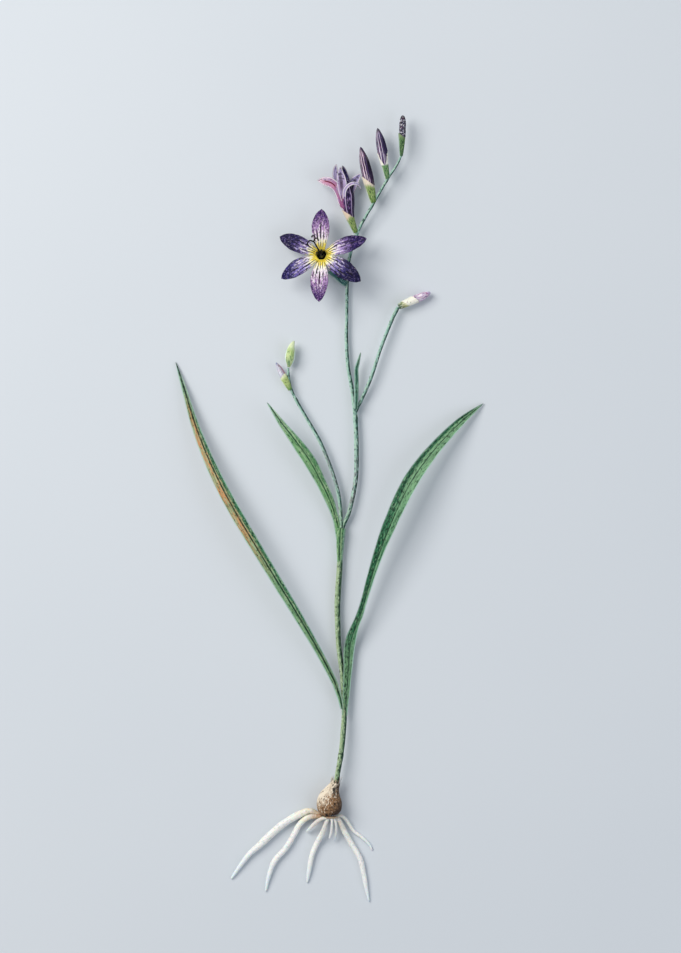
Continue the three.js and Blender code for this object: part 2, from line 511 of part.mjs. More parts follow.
// Materials, as the colours in the picture
const finish = (color, roughness) => new THREE.MeshStandardMaterial({ color, roughness, metalness: 0 });
const FINISHES = {
  tunic: finish("#b08d62", 0.8),
  root: finish("#efe6d2", 0.6),
  stem: finish("#7fa065", 0.6),
  leaf: finish("#5f8a52", 0.55),
  bract: finish("#a6b866", 0.6),
  paleBract: finish("#e4e2bd", 0.6),
  tepal: finish("#8f77b5", 0.5),
  bud: finish("#6d4b78", 0.55),
  anther: finish("#27301f", 0.7),
  style: finish("#2a2030", 0.6),
};

// The named mesh of a solid.
function piece(name, shape, material) {
  const { vertProperties, triVerts } = shape.getMesh();
  const geometry = new THREE.BufferGeometry()
    .setAttribute("position", new THREE.BufferAttribute(vertProperties, 3))
    .setIndex(new THREE.BufferAttribute(triVerts, 1));
  geometry.computeVertexNormals();
  const mesh = new THREE.Mesh(geometry, material);
  mesh.name = name;
  return mesh;
}

const plant = new THREE.Group();
plant.add(
  piece("corm", corm(), FINISHES.tunic),
  piece("roots", roots(), FINISHES.root),
  piece("stem", stem(), FINISHES.stem),
  piece("long_left_leaf", longLeftLeaf(), FINISHES.leaf),
  piece("broad_right_leaf", clasping(leafBlade(BROAD_RIGHT_LEAF)), FINISHES.leaf),
  piece("upper_left_leaf", upperLeftLeaf(), FINISHES.leaf),
  piece("bract_leaf", clasping(leafBlade(BRACT_LEAF)), FINISHES.leaf),
  piece("open_flower_perianth", openPerianth(), FINISHES.tepal),
  piece("open_flower_stamens", stamens(), FINISHES.anther),
  piece("open_flower_style", style(), FINISHES.style),
  piece("open_flower_bract", clasping(bractCup(OPEN_BRACT)), FINISHES.bract),
  piece("half_open_flower_perianth", halfOpenPerianth(), FINISHES.tepal),
  piece("half_open_flower_bract", clasping(bractCup(HALF_BRACT)), FINISHES.bract),
  piece("closed_left_bud", clasping(tube(CLOSED_BUD, SPACING.corolla, SIDES.sheath)), FINISHES.bract),
);
for (const [name, bud] of Object.entries(BUDS)) {
  const bractFinish = name === "right_bud" ? FINISHES.paleBract : FINISHES.bract;
  plant.add(
    piece(`${name}_corolla`, corolla(bud), FINISHES.bud),
    piece(`${name}_bract`, clasping(bractCup(bud)), bractFinish),
  );
}

export default plant;
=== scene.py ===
"""A whole ixia plant, lifted and laid down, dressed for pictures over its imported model.

Lengths are millimetres until a mesh is made. +Z is up, +Y runs from the corm to the flowers, and z = 0 is
the surface that the plant lies on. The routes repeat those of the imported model, so each piece lies where its
solid does, with a finer surface. In the UV map GRAIN, U is the place across or round a piece and V the place
along it.
"""

import logging
from collections.abc import Sequence
from dataclasses import asdict, dataclass, field
from enum import Enum
from math import ceil, pi, radians

import bpy
import numpy as np
from mathutils import Matrix, Vector


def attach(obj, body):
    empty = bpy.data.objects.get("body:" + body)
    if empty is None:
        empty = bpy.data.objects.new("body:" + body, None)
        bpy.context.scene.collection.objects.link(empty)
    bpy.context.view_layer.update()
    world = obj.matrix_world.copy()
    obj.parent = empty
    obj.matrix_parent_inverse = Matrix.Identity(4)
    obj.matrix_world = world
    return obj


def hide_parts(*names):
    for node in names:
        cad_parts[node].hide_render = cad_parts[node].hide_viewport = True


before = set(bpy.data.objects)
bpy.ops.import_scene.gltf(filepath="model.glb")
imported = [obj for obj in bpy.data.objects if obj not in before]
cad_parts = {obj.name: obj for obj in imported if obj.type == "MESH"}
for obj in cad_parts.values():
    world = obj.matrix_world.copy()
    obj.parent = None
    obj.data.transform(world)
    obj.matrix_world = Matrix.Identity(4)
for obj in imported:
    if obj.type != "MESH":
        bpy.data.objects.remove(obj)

Array = np.ndarray
Stations = Sequence[Sequence[float]]
Socket = bpy.types.NodeSocket
Number = float | Socket
Colour = str | Socket

LOG = logging.getLogger("ixia")
MM = 0.001  # metres in a millimetre
TAU = 2 * pi
GRAIN = "Grain"
UP = np.array([0.0, 0.0, 1.0])
ACROSS = np.array([1.0, 0.0, 0.0])
SENSOR = 36.0  # width of the camera's sensor, in millimetres
# Shader inputs that finishes share: of stem, leaves, tepals and bracts, and of the roots
SOFT = {"Specular_IOR_Level": 0.15, "Subsurface_Weight": 0.06, "Subsurface_Scale": 0.001}
FLESHY = {"Specular_IOR_Level": 0.3, "Subsurface_Weight": 0.2, "Subsurface_Scale": 0.001}


# Shapes


def unit(vectors: Array) -> Array:
    """Scales each vector to length 1.

    Args:
        vectors: Vectors along the last axis.

    Returns:
        The vectors, each divided by its length.
    """
    return vectors / np.maximum(np.linalg.norm(vectors, axis=-1, keepdims=True), 1e-9)


def step(values: Array, low: float, high: float) -> Array:
    """Rises smoothly from 0 at low to 1 at high, as 3s^2 - 2s^3 with s = (value - low) / (high - low).

    Args:
        values: What to test.
        low: Where the rise starts.
        high: Where it ends.

    Returns:
        An array of the same shape, from 0 to 1.
    """
    share = np.clip((values - low) / (high - low), 0, 1)
    return share * share * (3 - 2 * share)


def ripple(values: Array, pitch: float, seed: int) -> Array:
    """A slow irregular wave from -1 to 1: the mean of three sines with unrelated pitches and seeded phases.

    Args:
        values: Places along the wave.
        pitch: About how far apart its crests are.
        seed: Which of many such waves.

    Returns:
        An array of the same shape.
    """
    phases = np.random.default_rng(seed).uniform(0, TAU, 3)
    turns = (TAU / pitch) * np.array([0.61, 1.0, 1.73])
    return np.sin(values[..., None] * turns + phases).mean(-1)


def circuit(sides: int) -> Array:
    """Even turns round a piece, in radians from 0."""
    return np.arange(sides) * TAU / sides


def lap(sides: int, end: float = 1.0) -> Array:
    """U at each column round a piece and once more back at the first, from 0 to the end."""
    return np.linspace(0, end, sides + 1)


def smooth_rows(stations: Array, count: int) -> tuple[Array, Array]:
    """Carries every column of the stations along a uniform Catmull-Rom spline.

    From station P1 to P2, with P0 and P3 beside them, the value at share w is the cubic
    P1 + m1 w + (3d - 2 m1 - m2) w^2 + (m1 + m2 - 2d) w^3, where d = P2 - P1, m1 = (P2 - P0) / 2 and
    m2 = (P3 - P1) / 2. Past each end the neighbour is the mirror image of the last one but one.

    Args:
        stations: Rows of numbers.
        count: How many rows are wanted.

    Returns:
        The rows, and their slopes along the spline.
    """
    padded = np.vstack([2 * stations[0] - stations[1], stations, 2 * stations[-1] - stations[-2]])
    place = np.linspace(0, len(stations) - 1, count)
    first = np.minimum(place.astype(int), len(stations) - 2)
    w = (place - first)[:, None]
    p0, p1, p2, p3 = (padded[first + k] for k in range(4))
    d, m1, m2 = p2 - p1, (p2 - p0) / 2, (p3 - p1) / 2
    square, cube = 3 * d - 2 * m1 - m2, m1 + m2 - 2 * d
    return p1 + m1 * w + square * w**2 + cube * w**3, m1 + 2 * square * w + 3 * cube * w**2


@dataclass(frozen=True)
class Route:
    """A line through stations, with the directions that its sections are laid out in.

    Attributes:
        place: Rows of points.
        across: The direction across the piece at each row.
        above: The direction out of its upper face.
        values: What the stations say besides their place, as columns.
        run: Millimetres from the first row.
    """

    place: Array
    across: Array
    above: Array
    values: Array
    run: Array

    @classmethod
    def through(cls, stations: Stations, spacing: float, side: Array | None = None) -> "Route":
        """Lays a route through stations.

        "Across" is the side, or without one the horizontal square to the route. It is made square to the
        route and turned about it by the bank, the stations' fifth number, in degrees. "Above" is across x
        along.

        Args:
            stations: Rows of x, y, z, a width and, for blades, the bank and what follows.
            spacing: Millimetres between rows.
            side: A direction that "across" keeps to.

        Returns:
            The route.
        """
        rows = np.array(stations, float)
        length = np.linalg.norm(np.diff(rows[:, :3], axis=0), axis=1).sum()
        values, slopes = smooth_rows(rows, ceil(length / spacing) + 1)
        place, along = values[:, :3], unit(slopes[:, :3])
        across = np.cross(along, UP) if side is None else np.broadcast_to(side, place.shape)
        across = unit(across - (across * along).sum(1, keepdims=True) * along)
        bank = np.radians(values[:, 4:5]) if values.shape[1] > 4 else np.zeros((len(place), 1))
        across = across * np.cos(bank) + np.cross(along, across) * np.sin(bank)
        steps = np.linalg.norm(np.diff(place, axis=0), axis=1)
        run = np.concatenate([[0.0], np.cumsum(steps)])
        return cls(place, across, np.cross(across, along), values[:, 3:], run)

    @property
    def share(self) -> Array:
        """The share of the route that each row has run."""
        return self.run / self.run[-1]

    def carry(self, a: Array, b: Array) -> Array:
        """Points at offsets from the route: place + a * across + b * above.

        Args:
            a: Offsets across, rows x columns.
            b: Offsets above, rows x columns.

        Returns:
            Points, rows x columns x 3.
        """
        return self.place[:, None] + a[..., None] * self.across[:, None] + b[..., None] * self.above[:, None]

    def circle(self, radius: Array, turn: Array) -> Array:
        """Points at a radius from the route and a turn round it, from across towards above."""
        return self.carry(radius * np.cos(turn), radius * np.sin(turn))

    def rows(self, order: Array) -> "Route":
        """The route with its rows in another order."""
        place, across, above = self.place[order], self.across[order], self.above[order]
        return Route(place, across, above, self.values[order], self.run[order])


@dataclass(frozen=True)
class Skin:
    """A closed surface: rows of points that each run once round the piece, closed at both ends to a pole.

    Attributes:
        points: Rows x columns x 3.
        around: U at each column, and once more back at the first.
        along: V at each row.
        marks: Further numbers that the finish reads, each rows x columns or one that spreads to it.
    """

    points: Array
    around: Array
    along: Array
    marks: dict[str, Array | float] = field(default_factory=dict)

    def vertices(self) -> Array:
        """The points and then the two poles, each the mean of its end row."""
        poles = self.points[[0, -1]].mean(1)
        return np.vstack([self.points.reshape(-1, 3), poles])

    def mark(self, name: str) -> Array:
        """One of the marks for every vertex, with the mean of its end row at each pole."""
        spread = np.broadcast_to(np.asarray(self.marks.get(name, 0.0), float), self.points.shape[:2])
        return np.concatenate([spread.ravel(), spread[[0, -1]].mean(1)])

    def faces(self) -> tuple[Array, Array, Array, Array]:
        """Quads between the rows and triangles to the poles, turned so that the skin's volume is positive.

        Returns:
            The quads, the UV of their corners, the triangles, and the UV of theirs.
        """
        rows, columns = self.points.shape[:2]
        here = np.arange(rows * columns).reshape(rows, columns)
        there = np.roll(here, -1, axis=1)
        quads = np.stack([here[:-1], there[:-1], there[1:], here[1:]], -1).reshape(-1, 4)
        u = np.broadcast_to(self.around, (rows, columns + 1))
        v = np.broadcast_to(self.along[:, None], (rows, columns + 1))
        spots = np.stack([u, v], -1)
        corners = [spots[:-1, :-1], spots[:-1, 1:], spots[1:, 1:], spots[1:, :-1]]
        quad_uv = np.stack(corners, -2).reshape(-1, 4, 2)
        first, last = np.full(columns, rows * columns), np.full(columns, rows * columns + 1)
        caps = [[there[0], here[0], first], [here[-1], there[-1], last]]
        tris = np.vstack([np.stack(cap, -1) for cap in caps])
        ends = [[spots[0, 1:], spots[0, :-1]], [spots[-1, :-1], spots[-1, 1:]]]
        tri_uv = np.vstack([np.stack([a, b, (a + b) / 2], -2) for a, b in ends])
        place = self.vertices()
        split = np.vstack([quads[:, [0, 1, 2]], quads[:, [0, 2, 3]], tris])
        a, b, c = (place[split[:, k]] for k in range(3))
        if (a * np.cross(b, c)).sum() < 0:
            return quads[:, ::-1], quad_uv[:, ::-1], tris[:, ::-1], tri_uv[:, ::-1]
        return quads, quad_uv, tris, tri_uv

    def moved(self, turn: Array, shift: Array) -> "Skin":
        """The skin turned by a matrix and then shifted."""
        return Skin(self.points @ turn.T + shift, self.around, self.along, self.marks)


def mesh_of(name: str, skins: Sequence[Skin]) -> bpy.types.Mesh:
    """Joins skins in one mesh, in metres, with their UV map and marks.

    Args:
        name: The mesh's name.
        skins: The closed surfaces.

    Returns:
        The mesh, shaded smooth.
    """
    mesh = bpy.data.meshes.new(name)
    counts = [len(skin.vertices()) for skin in skins]
    starts = np.concatenate([[0], np.cumsum(counts)[:-1]])
    parts = [skin.faces() for skin in skins]
    quads = np.vstack([part[0] + start for part, start in zip(parts, starts)])
    tris = np.vstack([part[2] + start for part, start in zip(parts, starts)])
    vertices = np.vstack([skin.vertices() for skin in skins]) * MM
    mesh.from_pydata(vertices.tolist(), [], quads.tolist() + tris.tolist())
    spots = [part[1].reshape(-1, 2) for part in parts] + [part[3].reshape(-1, 2) for part in parts]
    layer = mesh.uv_layers.new(name=GRAIN)
    layer.uv.foreach_set("vector", np.vstack(spots).astype(np.float32).ravel())
    for mark in sorted({key for skin in skins for key in skin.marks}):
        values = np.concatenate([skin.mark(mark) for skin in skins]).astype(np.float32)
        mesh.attributes.new(mark, "FLOAT", "POINT").data.foreach_set("value", values)
    mesh.polygons.foreach_set("use_smooth", np.ones(len(mesh.polygons), bool))
    mesh.update()
    return mesh


class Slot(Enum):
    """The record's material slots."""

    TUNIC = "tunic"
    ROOT = "root"
    STEM = "stem"
    LEAF = "leaf"
    BRACT = "bract"
    PALE_BRACT = "pale_bract"
    TEPAL = "tepal"
    BUD = "bud"
    ANTHER = "anther"
    STYLE = "style"


def seat(name: str, skins: Sequence[Skin], material: bpy.types.Material, slot: Slot, *nodes: str) -> None:
    """Makes a piece of the plant and puts it in place of the solids that it stands for.

    Args:
        name: The piece's name.
        skins: Its surfaces.
        material: Its finish.
        slot: The record's slot that the finish belongs to. Not used.
        nodes: The solids that it stands for.
    """
    mesh = mesh_of(name, skins)
    mesh.materials.append(material)
    piece = bpy.data.objects.new(name, mesh)
    bpy.context.scene.collection.objects.link(piece)
    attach(piece, "root")
    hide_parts(*nodes)
    LOG.info("%s: %d faces, stands for %s", name, len(mesh.polygons), ", ".join(nodes))


# Finishes


def linear(tint: str) -> tuple[float, float, float, float]:
    """A colour written as "#rrggbb", as the linear values that shaders take.

    Args:
        tint: The colour on a screen.

    Returns:
        Red, green, blue and an alpha of 1.
    """
    screen = np.array([int(tint[k : k + 2], 16) for k in (1, 3, 5)]) / 255
    light = np.where(screen <= 0.04045, screen / 12.92, ((screen + 0.055) / 1.055) ** 2.4)
    return (*light.tolist(), 1.0)


class Graph:
    """The nodes of one material, with short ways to add what the finishes need.

    Attributes:
        COVER: How far the level of the strokes' noise moves from none of the surface to all of it.
        EDGE: Half the noise's rise over a stroke's soft edge.
    """

    COVER = 0.33
    EDGE = 0.03

    def __init__(self, name: str) -> None:
        """Starts a material that holds only its shader and output."""
        self.material = bpy.data.materials.new(name)
        self.material.use_nodes = True
        self.tree = self.material.node_tree
        self.shader = next(node for node in self.tree.nodes if node.type == "BSDF_PRINCIPLED")

    def feed(self, socket: Socket, value: Number | Colour | None) -> None:
        """Links a socket to another, or sets it to a number, a vector or a colour."""
        if isinstance(value, bpy.types.NodeSocket):
            self.tree.links.new(value, socket)
        elif isinstance(value, str):
            socket.default_value = linear(value)
        elif value is not None:
            socket.default_value = value

    def add(self, kind: str, inputs: dict[str | int, Number | Colour], **settings: object) -> bpy.types.Node:
        """Adds a node.

        Args:
            kind: The node's type.
            inputs: What each named or numbered input takes.
            settings: The node's own settings.

        Returns:
            The node.
        """
        node = self.tree.nodes.new(kind)
        for key, value in settings.items():
            setattr(node, key, value)
        for key, value in inputs.items():
            self.feed(node.inputs[key], value)
        return node

    def grain(self) -> tuple[Socket, Socket]:
        """U and V of the piece."""
        spot = self.add("ShaderNodeUVMap", {}, uv_map=GRAIN).outputs[0]
        parts = self.add("ShaderNodeSeparateXYZ", {0: spot}).outputs
        return parts[0], parts[1]

    def place(self) -> Socket:
        """The point on the plant, in metres."""
        return self.add("ShaderNodeTexCoord", {}).outputs["Object"]

    def mark(self, name: str) -> Socket:
        """One of the skins' marks."""
        return self.add("ShaderNodeAttribute", {}, attribute_name=name).outputs["Fac"]

    def math(self, operation: str, first: Number, second: Number = 0.0, third: Number = 0.0) -> Socket:
        """One step of arithmetic on numbers."""
        return self.add("ShaderNodeMath", {0: first, 1: second, 2: third}, operation=operation).outputs[0]

    def times(self, first: Number, second: Number) -> Socket:
        """The product of two numbers."""
        return self.math("MULTIPLY", first, second)

    def plus(self, first: Number, second: Number) -> Socket:
        """The sum of two numbers."""
        return self.math("ADD", first, second)

    def scaled(self, value: Number, factor: Number, shift: Number) -> Socket:
        """value * factor + shift."""
        return self.math("MULTIPLY_ADD", value, factor, shift)

    def minus(self, first: Number, second: Number) -> Socket:
        """The first number less the second."""
        return self.math("SUBTRACT", first, second)

    def between(self, share: Number, first: float, second: float) -> Socket:
        """The first number where the share is 0, the second where it is 1."""
        return self.scaled(share, second - first, first)

    def size(self, value: Number) -> Socket:
        """A number without its sign."""
        return self.math("ABSOLUTE", value)

    def inset(self, u: Number, half: Number) -> Socket:
        """Millimetres in from a blade's margin, at u of its half width."""
        return self.times(self.minus(1.0, self.size(u)), half)

    def band(self, value: Number, low: float, high: float) -> Socket:
        """A smooth step from 0 at low to 1 at high, which falls where high is the lesser."""
        ends = {0: value, 1: low, 2: high, 3: 0.0, 4: 1.0}
        return self.add("ShaderNodeMapRange", ends, interpolation_type="SMOOTHSTEP").outputs[0]

    def stripes(self, value: Number, count: Number) -> Socket:
        """The distance to the nearest of evenly spaced lines: 0 on a line, 0.5 halfway between two."""
        wrapped = self.math("FRACT", self.times(value, count))
        return self.minus(0.5, self.size(self.minus(wrapped, 0.5)))

    def vector(self, x: Number, y: Number, z: Number = 0.0) -> Socket:
        """Three numbers as one vector."""
        return self.add("ShaderNodeCombineXYZ", {0: x, 1: y, 2: z}).outputs[0]

    def noise(self, vector: Socket, scale: float = 1.0, detail: float = 2.0, rough: float = 0.5) -> Socket:
        """Cloudy noise from 0 to 1, about 0.5."""
        inputs = {"Vector": vector, "Scale": scale, "Detail": detail, "Roughness": rough}
        return self.add("ShaderNodeTexNoise", inputs).outputs["Fac"]

    def strokes(
        self, x: Number, v: Number, width: float, length: float, amount: Number, seed: Number
    ) -> Socket:
        """Irregular strokes along a piece: 1 on a stroke and 0 beside it.

        Cloudy noise, stretched along the piece, is cut off at the level that leaves the wanted share covered.

        Args:
            x: Millimetres across.
            v: Millimetres along.
            width: The noise's pitch across, about twice as wide as a stroke, in millimetres.
            length: Its pitch along.
            amount: The share of the surface that is covered.
            seed: Which of many such patterns.

        Returns:
            The strokes.
        """
        spot = self.vector(self.times(x, 1 / width), self.times(v, 1 / length), seed)
        cloud = self.noise(spot, rough=0.6)
        slope, shift = self.COVER, -self.COVER / 2
        level = amount * slope + shift if isinstance(amount, float) else self.scaled(amount, slope, shift)
        return self.band(self.plus(cloud, level), 0.5 - self.EDGE, 0.5 + self.EDGE)

    def mix(self, share: Number, first: Colour, second: Colour) -> Socket:
        """The first colour where the share is 0, the second where it is 1."""
        node = self.add("ShaderNodeMix", {0: share, 6: first, 7: second}, data_type="RGBA")
        return node.outputs[2]

    def coat(self, colour: Colour, share: Number, amount: Number, tint: Colour) -> Socket:
        """A colour with a tint laid over it, as opaque as the product of share and amount."""
        return self.mix(self.times(share, amount), colour, tint)

    def relief(self, height: Number, depth: float) -> Socket:
        """A bumped normal for a height of 0 to 1 over a depth in millimetres."""
        inputs = {"Strength": 1.0, "Distance": depth * MM, "Height": height}
        return self.add("ShaderNodeBump", inputs).outputs[0]

    def dress(
        self, colour: Socket, normal: Socket, roughness: Number, **constants: object
    ) -> bpy.types.Material:
        """Feeds the shader and hands the material over.

        Args:
            colour: The base colour.
            normal: The bumped normal.
            roughness: The roughness.
            constants: Other shader inputs, with underscores for their spaces.

        Returns:
            The material.
        """
        self.feed(self.shader.inputs["Base Color"], colour)
        self.feed(self.shader.inputs["Normal"], normal)
        self.feed(self.shader.inputs["Roughness"], roughness)
        for key, value in constants.items():
            self.shader.inputs[key.replace("_", " ")].default_value = value
        return self.material


@dataclass(frozen=True)
class LeafFinish:
    """A leaf: light and dark strokes along the veins, a dark midrib, pale margins, at times an autumn flush.

    One half beside the midrib is darker, as painted shade on that side of the fold, and the pale margins
    are a painted highlight.

    Attributes:
        name: The material's name.
        left: Colour left of the midrib. The darker of left and right is painted shade on that half.
        right: Colour right of it.
        deep: Colour of the dark strokes and the midrib.
        light: Colour of the light strokes.
        margin: Colour of the margins, a painted highlight.
        flecks: Share of dark dashes left and right of the midrib, higher on the half in painted shade.
        streaks: Share of light strokes left and right of it, higher on the lighter half.
        margins: How clear the painted highlight on the left and the right margin is.
        midrib: How dark the midrib is.
        flush: Colour of the flush.
        flushed: Where the flush starts, is full, still is and ends, in millimetres along the leaf.
        flush_side: The place across where the flush ends, from -1 to 1.
        upper: Colour of the upper stretch, right of the midrib and some way over it.
        upper_from: Where it starts and is full, as shares of the length, and how far it reaches over the
            midrib.
        foot: Colour of the foot, and foot_from where it is full and ends, in millimetres.
        rib_width: How wide the dark band at the midrib is, to each side, in millimetres.
    """

    name: str
    left: str
    right: str
    deep: str = "#0d2c25"
    light: str = "#a9c795"
    margin: str = "#bfe0d8"
    flecks: tuple[float, float] = (0.3, 0.3)
    streaks: tuple[float, float] = (0.3, 0.3)
    margins: tuple[float, float] = (0.8, 0.8)
    midrib: float = 0.7
    flush: str = "#c7955f"
    flushed: tuple[float, float, float, float] | None = None
    flush_side: float = 0.0
    upper: str = "#8fb79a"
    upper_from: tuple[float, float, float] = (0.7, 0.95, 0.8)
    foot: str | None = None
    foot_from: tuple[float, float] = (20.0, 34.0)
    rib_width: float = 0.3

    def material(self) -> bpy.types.Material:
        """Builds the nodes.

        Returns:
            The material.
        """
        g = Graph(self.name)
        u, v = g.grain()
        half = g.mark("half")
        x = g.times(u, half)
        cloud = g.noise(g.vector(g.times(x, 0.35), g.times(v, 0.07)), detail=3.0)
        start, full, over = self.upper_from
        upper = g.band(g.mark("share"), start, full)
        # Two greens either side of the midrib: the darker half is painted shade.
        right = g.band(g.plus(u, g.times(upper, over)), -0.1, 0.1)
        colour = g.mix(right, self.left, g.mix(upper, self.right, self.upper))
        if self.foot:
            full, end = self.foot_from
            colour = g.mix(g.band(g.plus(v, g.scaled(cloud, 16.0, -8.0)), end, full), colour, self.foot)
        colour = g.coat(colour, g.band(cloud, 0.46, 0.68), 0.3, self.deep)
        if self.flushed:
            start, full, still, end = self.flushed
            spell = g.times(g.band(v, start, full), g.band(v, end, still))
            patch = g.strokes(x, v, 0.8, 8.0, 0.62, 5.0)
            side = g.band(g.plus(u, g.scaled(cloud, 0.8, -0.4)), self.flush_side, self.flush_side - 0.3)
            colour = g.coat(colour, g.times(spell, side), g.scaled(patch, 0.6, 0.35), self.flush)
        # Light strokes gather on the lighter half and dark dashes on the half in painted shade: partly the
        # leaf's own veining, partly painted light and shade.
        light = g.strokes(x, v, 0.55, 6.0, g.between(right, *self.streaks), 1.0)
        colour = g.coat(colour, light, 0.6, self.light)
        shade = g.strokes(x, v, 0.55, 8.0, 0.24, 2.0)
        colour = g.coat(colour, shade, 0.45, self.deep)
        dashes = g.strokes(x, v, 0.5, 1.6, g.between(right, *self.flecks), 3.0)
        colour = g.coat(colour, dashes, 0.88, self.deep)
        glints = g.strokes(x, v, 0.42, 1.2, 0.12, 4.0)
        colour = g.coat(colour, glints, 0.6, self.light)
        # Pale margins: a painted highlight along the edges.
        edge = g.band(g.plus(g.inset(u, half), g.scaled(cloud, 0.5, -0.25)), 0.5, 0.22)
        colour = g.coat(colour, edge, g.between(right, *self.margins), self.margin)
        beside = g.times(g.band(x, 0.4, 0.6), g.band(x, 1.0, 0.75))
        colour = g.coat(colour, beside, self.midrib * 0.4, self.light)
        near = g.size(g.scaled(x, 1.0, -0.15))
        broken = g.scaled(g.strokes(x, v, 0.5, 3.0, 0.75, 6.0), 0.6, 0.4)
        rib = g.times(g.band(near, self.rib_width, 0.1), broken)
        colour = g.coat(colour, rib, self.midrib, self.deep)
        relief = g.plus(g.times(g.stripes(u, 13.0), 0.9), g.times(cloud, 0.7))
        return g.dress(colour, g.relief(relief, 0.12), g.scaled(cloud, 0.25, 0.4), **SOFT)


@dataclass(frozen=True)
class StemFinish:
    """A stem: pale down its left, with dark dashes down its right, an edge line and a purplish stretch.

    The pale left is a painted highlight and the darker right painted shade, where more dark dashes gather
    as painted shade; the pale edge line at the right is a painted highlight. Each of its three greens, the
    painted highlight, the ground and the painted shade, is given twice: for the olive lower stem, and for the
    bluer branches and upper stem.
    """

    name: str = "stem skin"
    light: tuple[str, str] = ("#a2b792", "#a9ccc0")
    ground: tuple[str, str] = ("#6b8a66", "#70998c")
    shade: tuple[str, str] = ("#3d6348", "#3f6c66")
    deep: str = "#0a2a24"
    dab: str = "#c4dcc4"
    edge: str = "#86b4b0"
    blush: str = "#7f6c7e"

    def material(self) -> bpy.types.Material:
        """Builds the nodes.

        Returns:
            The material.
        """
        g = Graph(self.name)
        u, v = g.grain()
        half = g.mark("half")
        side = g.scaled(u, -4.0, 2.0)
        x = g.times(side, g.times(half, 1.4))
        drift = g.plus(side, g.scaled(g.noise(g.vector(0.0, g.times(v, 0.35))), 0.8, -0.4))
        upper = g.mark("upper")
        light, ground, shade = (g.mix(upper, *pair) for pair in (self.light, self.ground, self.shade))
        # Painted light: the pale green down the left is a painted highlight, the shade green down the right
        # painted shade.
        colour = g.mix(g.band(drift, -0.6, 0.25), light, ground)
        colour = g.coat(colour, g.band(drift, 0.0, 0.5), 0.75, shade)
        spell = g.times(g.mark("blush"), g.strokes(x, v, 0.5, 3.0, 0.55, 1.0))
        colour = g.coat(colour, spell, 0.6, self.blush)
        colour = g.coat(colour, g.strokes(x, v, 0.6, 2.4, 0.32, 2.0), 0.8, light)
        # Pale dabs, denser down the left: partly the stem's own speckle, partly painted highlight.
        dabs = g.strokes(x, v, 0.8, 1.0, g.scaled(g.band(drift, 0.4, -0.8), 0.2, 0.08), 5.0)
        colour = g.coat(colour, dabs, 0.55, self.dab)
        # Dark dashes all over, and more in a row down the right, where they are painted shade.
        row = g.times(g.band(side, 0.0, 0.25), g.band(side, 1.05, 0.8))
        dashes = g.strokes(x, v, 0.6, 1.6, g.scaled(row, 0.42, 0.18), 3.0)
        colour = g.coat(colour, dashes, 0.88, self.deep)
        # A pale line at the right edge: a painted highlight.
        edge = g.times(g.band(side, 0.82, 0.98), g.band(side, 1.3, 1.15))
        colour = g.coat(colour, edge, 0.6, self.edge)
        colour = g.coat(colour, g.mark("ring"), 0.8, self.deep)
        fibre = g.noise(g.vector(g.times(u, 17.0), g.times(v, 0.22)), detail=4.0, rough=0.6)
        relief = g.plus(g.stripes(u, 11.0), g.times(fibre, 0.8))
        return g.dress(colour, g.relief(relief, 0.1), g.scaled(fibre, 0.25, 0.42), **SOFT)


